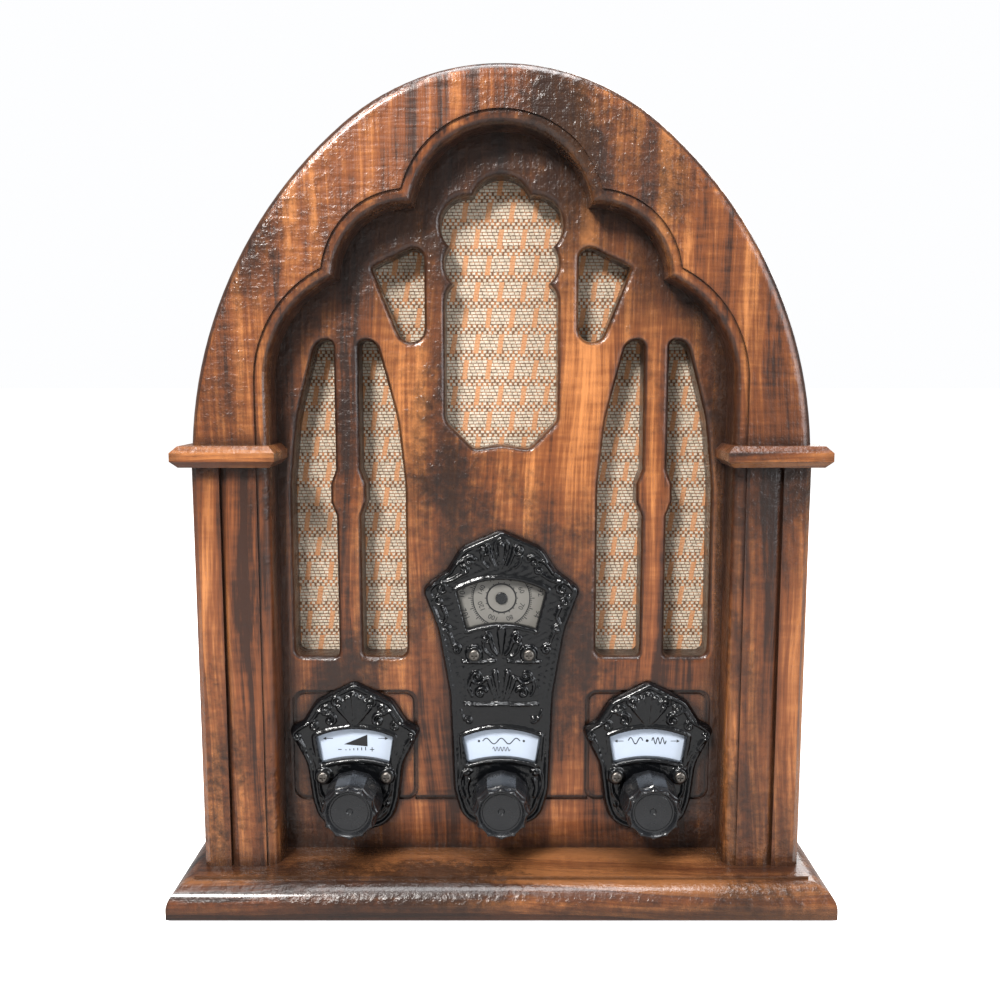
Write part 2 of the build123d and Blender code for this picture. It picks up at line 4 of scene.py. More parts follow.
import bmesh
import bpy
import numpy as np
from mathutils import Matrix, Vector


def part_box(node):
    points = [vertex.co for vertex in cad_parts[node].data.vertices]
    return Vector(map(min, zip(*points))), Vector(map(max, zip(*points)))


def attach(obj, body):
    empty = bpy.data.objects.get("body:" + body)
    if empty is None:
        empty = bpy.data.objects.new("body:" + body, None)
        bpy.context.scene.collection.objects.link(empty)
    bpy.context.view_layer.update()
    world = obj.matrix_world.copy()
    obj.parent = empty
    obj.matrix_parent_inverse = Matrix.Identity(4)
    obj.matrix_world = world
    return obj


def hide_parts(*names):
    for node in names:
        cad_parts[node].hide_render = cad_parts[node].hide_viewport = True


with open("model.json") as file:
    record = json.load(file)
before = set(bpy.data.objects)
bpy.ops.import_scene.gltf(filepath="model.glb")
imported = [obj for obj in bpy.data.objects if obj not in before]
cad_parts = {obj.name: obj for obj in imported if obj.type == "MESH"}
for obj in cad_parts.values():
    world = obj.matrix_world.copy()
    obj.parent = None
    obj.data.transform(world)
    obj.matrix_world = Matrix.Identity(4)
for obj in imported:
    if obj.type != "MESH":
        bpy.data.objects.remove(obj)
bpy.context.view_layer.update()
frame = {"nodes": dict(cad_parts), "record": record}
nodes = frame["nodes"]
print("frame loaded:", len(nodes), "nodes")

mm = 0.001


view = {
    "eye": (-0.0007, -0.549, 0.257),
    "tiltDown": 6.84,
    "lens": 36,
    "sensor": 36,
}

studio = {
    "floorSize": 60,
    "floorColour": (0.93, 0.93, 0.93, 1),
    "floorBounce": (0.34, 0.34, 0.34, 1),
    "floorGlow": 0.80,
    "worldColour": (0.985, 0.99, 1.0, 1),
    "worldStrength": 0.30,
    "backdropStrength": 1.0,
    # name, place, target, size, watts, colour
    "lamps": [
        ("keyPanel", (-0.55, -1.1, 1.15), (0, -0.06, 0.20), 0.32, 37, (1, 0.98, 0.95)),
        ("fillPanel", (1.2, -0.9, 0.55), (0, -0.06, 0.2), 0.8, 13, (0.92, 0.96, 1)),
        ("topPanel", (0.0, -0.15, 1.4), (0, -0.06, 0.3), 0.7, 22, (0.97, 0.98, 1)),
        ("backPanel", (0.6, 1.3, 0.9), (0, 0, 0.2), 0.9, 14, (1, 1, 1)),
    ],
}


def aim(thing, target):
    direction = Vector(target) - thing.location
    thing.rotation_euler = direction.to_track_quat("-Z", "Y").to_euler()


def makeCamera(v):
    data = bpy.data.cameras.new("frontCamera")
    data.lens = v["lens"]
    data.sensor_width = v["sensor"]
    data.clip_start = 0.01
    camera = bpy.data.objects.new("frontCamera", data)
    camera.location = v["eye"]
    camera.rotation_euler = (math.radians(90 - v["tiltDown"]), 0, 0)
    bpy.context.scene.collection.objects.link(camera)
    bpy.context.scene.camera = camera


def makeStudio(s):
    half = s["floorSize"] / 2
    mesh = bpy.data.meshes.new("floor")
    corners = [(-half, -half, 0), (half, -half, 0), (half, half, 0), (-half, half, 0)]
    mesh.from_pydata(corners, [], [(0, 1, 2, 3)])
    floor = bpy.data.objects.new("floor", mesh)
    bpy.context.scene.collection.objects.link(floor)
    paint = bpy.data.materials.new("floorPaint")
    paint.use_nodes = True
    shader = paint.node_tree.nodes["Principled BSDF"]
    shader.inputs["Roughness"].default_value = 0.9
    shader.inputs["Emission Color"].default_value = s["floorColour"]
    # seen directly, the floor is as pale as the backdrop; the radio gets the bounce of a darker table
    sight = paint.node_tree.nodes.new("ShaderNodeLightPath")
    glow = paint.node_tree.nodes.new("ShaderNodeMapRange")
    glow.inputs["To Max"].default_value = s["floorGlow"]
    tint = paint.node_tree.nodes.new("ShaderNodeMix")
    tint.data_type = "RGBA"
    tint.inputs[6].default_value = s["floorBounce"]
    tint.inputs[7].default_value = s["floorColour"]
    join = paint.node_tree.links.new
    join(sight.outputs["Is Camera Ray"], glow.inputs["Value"])
    join(sight.outputs["Is Camera Ray"], tint.inputs[0])
    join(glow.outputs["Result"], shader.inputs["Emission Strength"])
    join(tint.outputs[2], shader.inputs["Base Color"])
    mesh.materials.append(paint)
    world = bpy.data.worlds.new("paleRoom")
    world.use_nodes = True
    sky = world.node_tree.nodes["Background"]
    sky.inputs["Color"].default_value = s["worldColour"]
    # the backdrop looks paler than the light that it gives
    path = world.node_tree.nodes.new("ShaderNodeLightPath")
    level = world.node_tree.nodes.new("ShaderNodeMapRange")
    level.inputs["To Min"].default_value = s["worldStrength"]
    level.inputs["To Max"].default_value = s["backdropStrength"]
    world.node_tree.links.new(path.outputs["Is Camera Ray"], level.inputs["Value"])
    world.node_tree.links.new(level.outputs["Result"], sky.inputs["Strength"])
    bpy.context.scene.world = world
    bpy.context.scene.view_settings.view_transform = "Standard"
    for name, place, target, size, watts, colour in s["lamps"]:
        data = bpy.data.lights.new(name, "AREA")
        data.size = size
        data.energy = watts
        data.color = colour
        lamp = bpy.data.objects.new(name, data)
        lamp.location = place
        aim(lamp, target)
        bpy.context.scene.collection.objects.link(lamp)


makeCamera(view)
makeStudio(studio)
print("camera and studio ready")


class Wiring:
    # adds nodes to one tree, and takes numbers, colours or sockets as inputs
    def __init__(self, tree):
        self.tree = tree
        self.links = tree.links

    def node(self, kind, **settings):
        made = self.tree.nodes.new(kind)
        for name, value in settings.items():
            setattr(made, name, value)
        return made

    def feed(self, socket, value):
        if isinstance(value, bpy.types.NodeSocket):
            self.links.new(value, socket)
        else:
            socket.default_value = value

    def math(self, operation, *values):
        made = self.node("ShaderNodeMath", operation=operation)
        for socket, value in zip(made.inputs, values):
            self.feed(socket, value)
        return made.outputs[0]

    def scaled(self, vector, scale):
        made = self.node("ShaderNodeVectorMath", operation="MULTIPLY")
        self.feed(made.inputs[0], vector)
        made.inputs[1].default_value = scale
        return made.outputs[0]

    def added(self, vector, other):
        made = self.node("ShaderNodeVectorMath", operation="ADD")
        self.feed(made.inputs[0], vector)
        self.feed(made.inputs[1], other)
        return made.outputs[0]

    def noise(self, vector, scale, detail=2.0, rough=0.5, colour=False):
        made = self.node("ShaderNodeTexNoise")
        self.feed(made.inputs["Vector"], vector)
        self.feed(made.inputs["Scale"], scale)
        self.feed(made.inputs["Detail"], detail)
        self.feed(made.inputs["Roughness"], rough)
        return made.outputs["Color" if colour else "Fac"]

    def step(self, value, low, high, outLow=0.0, outHigh=1.0):
        made = self.node("ShaderNodeMapRange", interpolation_type="SMOOTHSTEP")
        for socket, given in zip(made.inputs, (value, low, high, outLow, outHigh)):
            self.feed(socket, given)
        return made.outputs["Result"]

    def mix(self, factor, first, second, blend="MIX"):
        made = self.node("ShaderNodeMix", data_type="RGBA", blend_type=blend)
        self.feed(made.inputs[0], factor)
        self.feed(made.inputs[6], first)
        self.feed(made.inputs[7], second)
        return made.outputs[2]


def newGroup(name, inputs, outputs):
    # inputs: name, socket type and default value
    tree = bpy.data.node_groups.new(name, "ShaderNodeTree")
    for label, kind, value in inputs:
        socket = tree.interface.new_socket(label, in_out="INPUT", socket_type="NodeSocket" + kind)
        if value is not None:
            socket.default_value = value
    for label, kind in outputs:
        tree.interface.new_socket(label, in_out="OUTPUT", socket_type="NodeSocket" + kind)
    given = tree.nodes.new("NodeGroupInput")
    result = tree.nodes.new("NodeGroupOutput")
    return Wiring(tree), given.outputs, result.inputs


def placeGroup(wiring, group, values):
    made = wiring.node("ShaderNodeGroup")
    made.node_tree = group
    for name, value in values.items():
        wiring.feed(made.inputs[name], value)
    return made.outputs


# grain of a stained, scorched and varnished pine board; the board runs along its z
def makePineGrain():
    w, given, out = newGroup("pineGrain", [
        ("Vector", "Vector", None),
        ("Dark", "Color", (0.07, 0.025, 0.010, 1)),
        ("Middle", "Color", (0.235, 0.085, 0.030, 1)),
        ("Light", "Color", (0.47, 0.20, 0.075, 1)),
        ("Ring Contrast", "Float", 0.55),
        ("Ring Scale", "Float", 26.0),
        ("Ripple", "Float", 0.5),
    ], [("Colour", "Color"), ("Roughness", "Float"), ("Height", "Float")])
    place = given["Vector"]
    drift = w.scaled(w.noise(w.scaled(place, (5, 5, 2.2)), 1.6, 2, 0.5, True), (0.03, 0.03, 0.03))
    bent = w.added(place, drift)
    wave = w.node("ShaderNodeTexWave", wave_type="BANDS", bands_direction="X", wave_profile="SAW")
    w.feed(wave.inputs["Vector"], w.scaled(bent, (1, 0.5, 0.10)))
    w.feed(wave.inputs["Scale"], given["Ring Scale"])
    wave.inputs["Distortion"].default_value = 2.4
    wave.inputs["Detail"].default_value = 2
    wave.inputs["Detail Scale"].default_value = 1.2
    rings = w.step(wave.outputs["Fac"], 0.25, 1.0)
    fibres = w.noise(w.scaled(bent, (1, 1, 0.035)), 620, 3, 0.6)
    streaks = w.noise(w.scaled(bent, (1, 1, 0.05)), 95, 3, 0.55)
    ripples = w.noise(w.scaled(place, (0.16, 0.16, 1)), 330, 2, 0.5)
    staves = w.noise(w.scaled(place, (1, 1, 0.05)), 42, 2, 0.5)
    board = w.noise(w.scaled(place, (1, 1, 0.35)), 13, 2, 0.5)
    tone = w.math("MULTIPLY", w.math("SUBTRACT", 0.5, rings), given["Ring Contrast"])
    tone = w.math("ADD", w.math("ADD", tone, 0.5), w.math("MULTIPLY", w.math("SUBTRACT", fibres, 0.5), 1.1))
    tone = w.math("ADD", tone, w.math("MULTIPLY", w.math("SUBTRACT", streaks, 0.5), 1.5))
    tone = w.math("ADD", tone, w.math("MULTIPLY", w.math("SUBTRACT", staves, 0.5), 1.2))
    tone = w.math("ADD", tone, w.math("SUBTRACT", board, 0.5))
    rippled = w.math("MULTIPLY", w.math("SUBTRACT", ripples, 0.5), given["Ripple"])
    tone = w.math("ADD", tone, rippled)
    low = w.mix(w.step(tone, 0.0, 0.5), given["Dark"], given["Middle"])
    w.feed(out["Colour"], w.mix(w.step(tone, 0.42, 1.1), low, given["Light"]))
    w.feed(out["Roughness"], w.step(tone, 0.0, 1.0, 0.40, 0.26))
    height = w.math("ADD", w.math("MULTIPLY", fibres, 0.35), w.math("MULTIPLY", rings, -0.25))
    height = w.math("ADD", height, w.math("MULTIPLY", rippled, 0.9))
    w.feed(out["Height"], height)
    return w.tree


# torch marks as dark clouds, darker along worked edges; with painted shade in corners and recesses, on walls
# that turn away from the front, and in a band given per board
def makeScorchAndShade():
    w, given, out = newGroup("scorchAndShadeGroup", [
        ("Vector", "Vector", None),
        ("Amount", "Float", 0.5),
        ("Corner Shade", "Float", 0.8),
        ("Reach", "Float", 0.020),
        ("Edge Darkness", "Float", 0.5),
        ("Edge Reach", "Float", 0.006),
        ("Slope Darkness", "Float", 0.5),
        ("Slope", "Float", 0.0),
        ("Shade Band", "Float", 0.0),
    ], [("Mask", "Float"), ("Height", "Float")])
    clouds = w.noise(w.scaled(given["Vector"], (1, 1, 0.55)), 15, 3, 0.55)
    speckle = w.noise(given["Vector"], 240, 3, 0.6)
    cloudy = w.math("ADD", clouds, w.math("MULTIPLY", w.math("SUBTRACT", speckle, 0.5), 0.25))
    patches = w.step(cloudy, w.math("SUBTRACT", 0.54, w.math("MULTIPLY", given["Amount"], 0.22)), 0.68)
    # painted shade: darker in corners and recesses, where other surfaces close in
    corner = w.node("ShaderNodeAmbientOcclusion", samples=6)
    w.feed(corner.inputs["Distance"], given["Reach"])
    closed = w.math("SUBTRACT", 1.0, corner.outputs["AO"])
    closed = w.math("MULTIPLY", closed, w.step(clouds, 0.2, 0.6, 0.8, 1.6))
    cornerShade = w.math("MULTIPLY", w.step(closed, 0.04, 0.55), given["Corner Shade"])
    # edges that stand out, seen as rays inside the board that soon leave it
    rim = w.node("ShaderNodeAmbientOcclusion", samples=6, inside=True)
    w.feed(rim.inputs["Distance"], given["Edge Reach"])
    nearEdge = w.step(w.math("SUBTRACT", 1.0, rim.outputs["AO"]), 0.06, 0.50)
    uneven = w.step(cloudy, 0.28, 0.55, 0.72, 1.0)
    singed = w.math("MULTIPLY", w.math("MULTIPLY", nearEdge, given["Edge Darkness"]), uneven)
    # painted shade on faces that turn away from the front, such as the walls of cuts and coves
    wallShade = w.math("MULTIPLY", w.math("MULTIPLY", given["Slope"], given["Slope Darkness"]), uneven)
    # painted shade in a band given per board, such as under the arch
    bandShade = w.math("MULTIPLY", given["Shade Band"], w.step(cloudy, 0.30, 0.56, 0.35, 1.0))
    dark = w.math("MAXIMUM", w.math("MAXIMUM", patches, cornerShade), w.math("MAXIMUM", singed, wallShade))
    w.feed(out["Mask"], w.math("MINIMUM", w.math("MAXIMUM", dark, bandShade), 1.0))
    w.feed(out["Height"], speckle)
    return w.tree


# gentle unevenness of colour and polish, for mouldings, metal and paper
def makeUnevenness():
    w, given, out = newGroup("unevenness", [
        ("Vector", "Vector", None),
        ("Colour", "Color", (0.5, 0.5, 0.5, 1)),
        ("Variation", "Float", 0.2),
        ("Roughness", "Float", 0.4),
        ("Coarse Scale", "Float", 60.0),
        ("Fine Scale", "Float", 900.0),
    ], [("Colour", "Color"), ("Roughness", "Float"), ("Height", "Float")])
    coarse = w.noise(given["Vector"], given["Coarse Scale"], 3, 0.6)
    fine = w.noise(given["Vector"], given["Fine Scale"], 2, 0.5)
    shift = w.math("ADD", w.math("MULTIPLY", coarse, 0.7), w.math("MULTIPLY", fine, 0.3))
    gain = w.math("ADD", 1.0, w.math("MULTIPLY", w.math("SUBTRACT", shift, 0.5), given["Variation"]))
    tinted = w.node("ShaderNodeVectorMath", operation="SCALE")
    w.feed(tinted.inputs[0], given["Colour"])
    w.feed(tinted.inputs["Scale"], gain)
    w.feed(out["Colour"], tinted.outputs[0])
    rough = w.math("MULTIPLY", given["Roughness"], w.math("ADD", 0.75, w.math("MULTIPLY", coarse, 0.5)))
    w.feed(out["Roughness"], rough)
    w.feed(out["Height"], shift)
    return w.tree


# even parallel turns or sheets, such as wire on a coil or plates in a stack
def makeTurns():
    w, given, out = newGroup("turns", [
        ("Vector", "Vector", None),
        ("Colour", "Color", (0.5, 0.4, 0.2, 1)),
        ("Gap Colour", "Color", (0.05, 0.04, 0.03, 1)),
        ("Per Metre", "Float", 1000.0),
    ], [("Colour", "Color"), ("Height", "Float")])
    split = w.node("ShaderNodeSeparateXYZ")
    w.feed(split.inputs[0], given["Vector"])
    part = w.math("FRACT", w.math("MULTIPLY", split.outputs["X"], given["Per Metre"]))
    hump = w.math("SINE", w.math("MULTIPLY", part, math.pi))
    stain = w.noise(given["Vector"], 120, 2)
    w.feed(out["Colour"], w.mix(w.step(w.math("ADD", hump, w.math("MULTIPLY", stain, 0.2)), 0.2, 0.8),
                                given["Gap Colour"], given["Colour"]))
    w.feed(out["Height"], hump)
    return w.tree


pineGrain = makePineGrain()
scorchAndShadeGroup = makeScorchAndShade()
unevenness = makeUnevenness()
turns = makeTurns()


def newFinish(name, constants):
    # a material with its shader, object coordinates and the sockets that stay the same all over
    finish = bpy.data.materials.new(name)
    finish.use_nodes = True
    w = Wiring(finish.node_tree)
    shader = finish.node_tree.nodes["Principled BSDF"]
    for socket, value in constants.items():
        shader.inputs[socket].default_value = value
    place = w.node("ShaderNodeTexCoord").outputs["Object"]
    return finish, w, shader, place


def relief(w, shader, height, distance, strength=1.0):
    bump = w.node("ShaderNodeBump")
    bump.inputs["Strength"].default_value = strength
    bump.inputs["Distance"].default_value = distance
    w.feed(bump.inputs["Height"], height)
    w.feed(shader.inputs["Normal"], bump.outputs[0])


def turned(w, place, grain, shift):
    # turns and shifts the coordinates so that a board's grain runs along z
    angle = {"x": (0, math.radians(90), 0), "y": (math.radians(90), 0, 0), "z": (0, 0, 0)}[grain]
    mapping = w.node("ShaderNodeMapping")
    w.feed(mapping.inputs["Vector"], place)
    mapping.inputs["Rotation"].default_value = angle
    mapping.inputs["Location"].default_value = shift
    return mapping.outputs[0]


boards = {
    # grain direction, shift within the log, scorching, painted corner shade, edges, painted shade on slopes,
    # ring contrast, ripple
    "front_panel": ("z", (0.31, 0.12, 0.05), 0.62, 1.0, 0.95, 0.95, 0.16, 0.50),
    "arch_frame": ("z", (0.87, 0.40, 0.22), 0.66, 0.9, 0.65, 0.90, 0.14, 0.60),
    "left_column": ("z", (1.30, 0.20, 0.70), 0.40, 0.95, 0.55, 0.35, 0.25, 0.30),
    # the right column's high scorching is partly painted shade, keeping the side away from the key lamp
    # darker
    "right_column": ("z", (1.75, 0.60, 0.11), 1.00, 0.95, 0.60, 0.50, 0.25, 0.30),
    "left_ledge": ("x", (0.10, 0.90, 0.40), 0.90, 0.8, 0.60, 0.55, 0.30, 0.20),
    "right_ledge": ("x", (0.42, 0.15, 0.90), 0.90, 0.8, 0.60, 0.55, 0.30, 0.20),
    "base_plank": ("x", (0.66, 0.33, 0.10), 1.10, 0.95, 0.75, 0.70, 0.35, 0.30),
    "cabinet_shell": ("y", (0.20, 0.70, 0.30), 0.78, 0.7, 0.40, 0.0, 0.25, 0.20),
}

pineTones = {
    "dark": (0.032, 0.010, 0.004, 1),
    "middle": (0.180, 0.053, 0.016, 1),
    "light": (0.52, 0.200, 0.066, 1),
    # the colour of the torch marks, also used for the painted shade
    "charredAndShaded": (0.012, 0.0065, 0.0048, 1),
    # painted shade in a band on some boards: direction, start, end and amount; the front panel darkens
    # towards its top under the arch, the arch frame towards its right, away from the key lamp
    "crown": {"front_panel": ("Z", 0.262, 0.312, 0.95), "arch_frame": ("X", 0.03, 0.15, 0.50)},
}


def pineFinish(name, grain, shift, scorching, corners, edges, slopes, contrast, ripple):
    finish, w, shader, place = newFinish("pine_" + name, {
        "Coat Weight": 0.30, "Coat Roughness": 0.10, "Specular IOR Level": 0.40,
    })
    along = turned(w, place, grain, shift)
    wood = placeGroup(w, pineGrain, {
        "Vector": along, "Dark": pineTones["dark"], "Middle": pineTones["middle"],
        "Light": pineTones["light"], "Ring Contrast": contrast, "Ripple": ripple,
    })
    facing = w.node("ShaderNodeSeparateXYZ")
    w.feed(facing.inputs[0], w.node("ShaderNodeTexCoord").outputs["Normal"])
    # faces that turn away from the front, for painted shade on walls and coves
    slope = w.step(w.math("ABSOLUTE", facing.outputs["Y"]), 0.80, 0.985, 1, 0)
    crown = 0.0
    # a band of painted shade on some boards
    if name in pineTones["crown"]:
        axis, start, end, amount = pineTones["crown"][name]
        split = w.node("ShaderNodeSeparateXYZ")
        w.feed(split.inputs[0], place)
        crown = w.step(split.outputs[axis], start, end, 0, amount)
    scorchAndShade = placeGroup(w, scorchAndShadeGroup, {
        "Vector": along, "Amount": scorching, "Corner Shade": corners, "Edge Darkness": edges,
        "Slope Darkness": slopes, "Slope": slope, "Shade Band": crown,
    })
    # the mask holds the torch marks and the painted shade, both mixed towards the charred colour
    burntAndShaded = w.math("MULTIPLY", scorchAndShade["Mask"], 0.94)
    w.feed(shader.inputs["Base Color"], w.mix(burntAndShaded, wood["Colour"], pineTones["charredAndShaded"]))
    w.feed(shader.inputs["Roughness"], wood["Roughness"])
    crackle = w.math("MULTIPLY", w.math("MULTIPLY", scorchAndShade["Mask"], scorchAndShade["Height"]), 1.3)
    varnish = w.math("MULTIPLY", w.noise(place, 70, 2), 0.8)
    relief(w, shader, w.math("ADD", w.math("ADD", wood["Height"], crackle), varnish), 0.0006)
    return finish


def rawBoard():
    finish, w, shader, place = newFinish("rawBoard", {})
    wood = placeGroup(w, pineGrain, {
        "Vector": turned(w, place, "x", (0.2, 0.5, 0.1)), "Dark": (0.30, 0.19, 0.10, 1),
        "Middle": (0.50, 0.36, 0.21, 1), "Light": (0.66, 0.51, 0.33, 1), "Ring Contrast": 0.4,
    })
    w.feed(shader.inputs["Base Color"], wood["Colour"])
    w.feed(shader.inputs["Roughness"], w.math("ADD", wood["Roughness"], 0.35))
    relief(w, shader, wood["Height"], 0.0003)
    return finish


plainFinishes = {
    # colour, variation, roughness, metallic, coarse scale, fine scale, relief in metres, coat
    "felt": ((0.035, 0.035, 0.036), 0.9, 0.95, 0, 300, 2500, 0.0004, 0),
    "hardboard": ((0.085, 0.045, 0.025), 0.9, 0.55, 0, 90, 1500, 0.00008, 0),
    "escutcheon_black": ((0.0030, 0.0033, 0.0040), 0.9, 0.17, 0, 190, 1100, 0.00034, 0),
    "knob_black": ((0.0095, 0.010, 0.0115), 0.6, 0.27, 0, 140, 1600, 0.00008, 0.1),
    "label_paper": ((0.50, 0.57, 0.68), 0.10, 0.42, 0, 60, 900, 0.00002, 0),
    "dial_paper": ((0.165, 0.157, 0.142), 0.30, 0.6, 0, 70, 900, 0.00002, 0),
    "plated_steel": ((0.52, 0.52, 0.53), 0.3, 0.35, 1, 80, 1400, 0.00003, 0),
    "nickel": ((0.17, 0.155, 0.14), 0.9, 0.36, 1, 500, 1800, 0.00006, 0),
    "brass_fitting": ((0.72, 0.49, 0.20), 0.3, 0.28, 1, 120, 1500, 0.00003, 0),
    "speaker_paper": ((0.035, 0.034, 0.033), 0.8, 0.85, 0, 200, 1800, 0.00015, 0),
    "ferrite": ((0.045, 0.045, 0.05), 0.7, 0.5, 0, 250, 2200, 0.00006, 0),
    "drum_plastic": ((0.60, 0.50, 0.33), 0.15, 0.38, 0, 60, 900, 0.00003, 0),
    "bright_can": ((0.72, 0.72, 0.74), 0.2, 0.3, 1, 90, 1500, 0.00003, 0),
    "black_anodised": ((0.018, 0.018, 0.02), 0.4, 0.4, 0.6, 90, 1500, 0.00003, 0),
    "moulded_black": ((0.022, 0.022, 0.023), 0.5, 0.45, 0, 120, 1800, 0.00005, 0),
    "ink": ((0.012, 0.012, 0.014), 0.5, 0.6, 0, 200, 1200, 0.00001, 0),
}


def plainFinish(name, colour, variation, rough, metallic, coarse, fine, depth, coat):
    finish, w, shader, place = newFinish(name, {
        "Metallic": metallic, "Coat Weight": coat, "Coat Roughness": 0.08,
    })
    skin = placeGroup(w, unevenness, {
        "Vector": place, "Colour": (*colour, 1), "Variation": variation, "Roughness": rough,
        "Coarse Scale": coarse, "Fine Scale": fine,
    })
    w.feed(shader.inputs["Base Color"], skin["Colour"])
    w.feed(shader.inputs["Roughness"], skin["Roughness"])
    relief(w, shader, skin["Height"], depth)
    return finish


def turnsFinish(name, values):
    finish, w, shader, place = newFinish(name, {"Roughness": values["roughness"]})
    coil = placeGroup(w, turns, {
        "Vector": turned(w, place, values["axis"], (0, 0, 0)), "Colour": values["colour"],
        "Gap Colour": values["gap"], "Per Metre": values["perMetre"],
    })
    w.feed(shader.inputs["Base Color"], coil["Colour"])
    relief(w, shader, coil["Height"], values["depth"])
    return finish


def boardFinish():
    # green lacquer over copper tracks that run in steps
    finish, w, shader, place = newFinish("board_green", {"Roughness": 0.3, "Coat Weight": 0.4})
    cells = w.node("ShaderNodeTexVoronoi", distance="CHEBYCHEV")
    w.feed(cells.inputs["Vector"], place)
    cells.inputs["Scale"].default_value = 130
    tracks = w.step(w.math("PINGPONG", cells.outputs["Distance"], 0.18), 0.07, 0.10)
    w.feed(shader.inputs["Base Color"], w.mix(tracks, (0.02, 0.12, 0.045, 1), (0.05, 0.24, 0.09, 1)))
    relief(w, shader, tracks, 0.0001)
    return finish


finishes = {name: plainFinish(name, *values) for name, values in plainFinishes.items()}
finishes["raw_board"] = rawBoard()
finishes["board_green"] = boardFinish()
finishes["coil_wrap"] = turnsFinish("coil_wrap", {
    "axis": "z", "colour": (0.55, 0.27, 0.06, 1), "gap": (0.12, 0.04, 0.01, 1), "perMetre": 1400,
    "roughness": 0.4, "depth": 0.0003,
})
finishes["lamination"] = turnsFinish("lamination", {
    "axis": "y", "colour": (0.10, 0.085, 0.08, 1), "gap": (0.02, 0.018, 0.017, 1), "perMetre": 2000,
    "roughness": 0.5, "depth": 0.0001,
})
finishes["cord_fibre"] = turnsFinish("cord_fibre", {
    "axis": "z", "colour": (0.35, 0.26, 0.14, 1), "gap": (0.10, 0.07, 0.03, 1), "perMetre": 1500,
    "roughness": 0.8, "depth": 0.0002,
})


def coatCadNodes():
    slotOf = {part["node"]: part["material_slot"] for part in frame["record"]["subparts"]}
    for name, thing in nodes.items():
        if name in boards:
            finish = pineFinish(name, *boards[name])
        elif slotOf[name] in finishes:
            finish = finishes[slotOf[name]]
        else:
            continue
        if not thing.data.materials:
            thing.data.materials.append(finish)
        for index in range(len(thing.data.materials)):
            thing.data.materials[index] = finish


coatCadNodes()
print("finishes ready")


def makePiece(name, verts, faces, finish, body, smooth=True):
    mesh = bpy.data.meshes.new(name)
    mesh.from_pydata([tuple(v) for v in verts], [], faces)
    mesh.validate()
    mesh.update()
    made = bmesh.new()
    made.from_mesh(mesh)
    bmesh.ops.recalc_face_normals(made, faces=made.faces)
    made.to_mesh(mesh)
    made.free()
    mesh.materials.append(finish)
    if smooth:
        mesh.shade_smooth()
    piece = bpy.data.objects.new(name, mesh)
    bpy.context.scene.collection.objects.link(piece)
    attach(piece, body)
    return piece


def faceLoops(node, level):
    # the closed outlines of a node's upright flat face at depth y = level, as arrays of x and z
    made = bmesh.new()
    made.from_mesh(nodes[node].data)
    bmesh.ops.remove_doubles(made, verts=made.verts, dist=1e-6)
    flat = {f.index for f in made.faces
            if abs(f.normal.y) > 0.99 and abs(f.calc_center_median().y - level) < 0.02 * mm}
    ahead = {}
    for edge in made.edges:
        sides = [f for f in edge.link_faces if f.index in flat]
        if len(sides) == 1:
            a, b = edge.verts
            ahead.setdefault(a.index, []).append(b.index)
            ahead.setdefault(b.index, []).append(a.index)
    made.verts.ensure_lookup_table()
    loops = []
    left = set(ahead)
    while left:
        start = min(left)
        chain = [start]
        left.discard(start)
        while True:
            following = [v for v in ahead[chain[-1]] if v in left]
            if not following:
                break
            chain.append(following[0])
            left.discard(following[0])
        loops.append(np.array([(made.verts[i].co.x, made.verts[i].co.z) for i in chain]))
    made.free()
    return sorted(loops, key=lambda loop: -np.ptp(loop[:, 0]) * np.ptp(loop[:, 1]))


def nearestOn(loop, points):
    # distance from each point to a closed outline, and the nearest place on it
    best = np.full(len(points), 1e9)
    place = np.zeros_like(points)
    for start, end in zip(loop, np.roll(loop, -1, axis=0)):
        run = end - start
        share = np.clip(((points - start) @ run) / max(run @ run, 1e-18), 0, 1)
        spot = start + share[:, None] * run
        distance = np.linalg.norm(points - spot, axis=1)
        closer = distance < best
        best[closer] = distance[closer]
        place[closer] = spot[closer]
    return best, place


def within(loop, points):
    inside = np.zeros(len(points), bool)
    for (x1, z1), (x2, z2) in zip(loop, np.roll(loop, -1, axis=0)):
        if z1 == z2:
            continue
        crosses = (points[:, 1] > min(z1, z2)) & (points[:, 1] <= max(z1, z2))
        reach = x1 + (points[:, 1] - z1) * (x2 - x1) / (z2 - z1)
        inside ^= crosses & (points[:, 0] < reach)
    return inside


castings = {
    "gridStep": 0.55 * mm,
    "ground": 3.7 * mm,
    "edgeRound": 1.3 * mm,
    "rimInset": 2.0 * mm,
    "rimWidth": 1.3 * mm,
    "rimHeight": 0.9 * mm,
    "innerRimInset": 5.0 * mm,
    "innerRimWidth": 0.9 * mm,
    "innerRimHeight": 0.5 * mm,
    "windowRim": 1.5 * mm,
    "windowRimWidth": 1.2 * mm,
    "windowRimHeight": 0.8 * mm,
    "bossRadius": 3.7 * mm,
    "bossHeight": 6.0 * mm,
    "bossFillet": 0.8 * mm,
    "backRecess": 0.5 * mm,
    "recessWidth": 2.7 * mm,
    "knobClear": 13.5 * mm,
    "hammering": 0.10 * mm,
    "ornamentGain": 1.35,
}


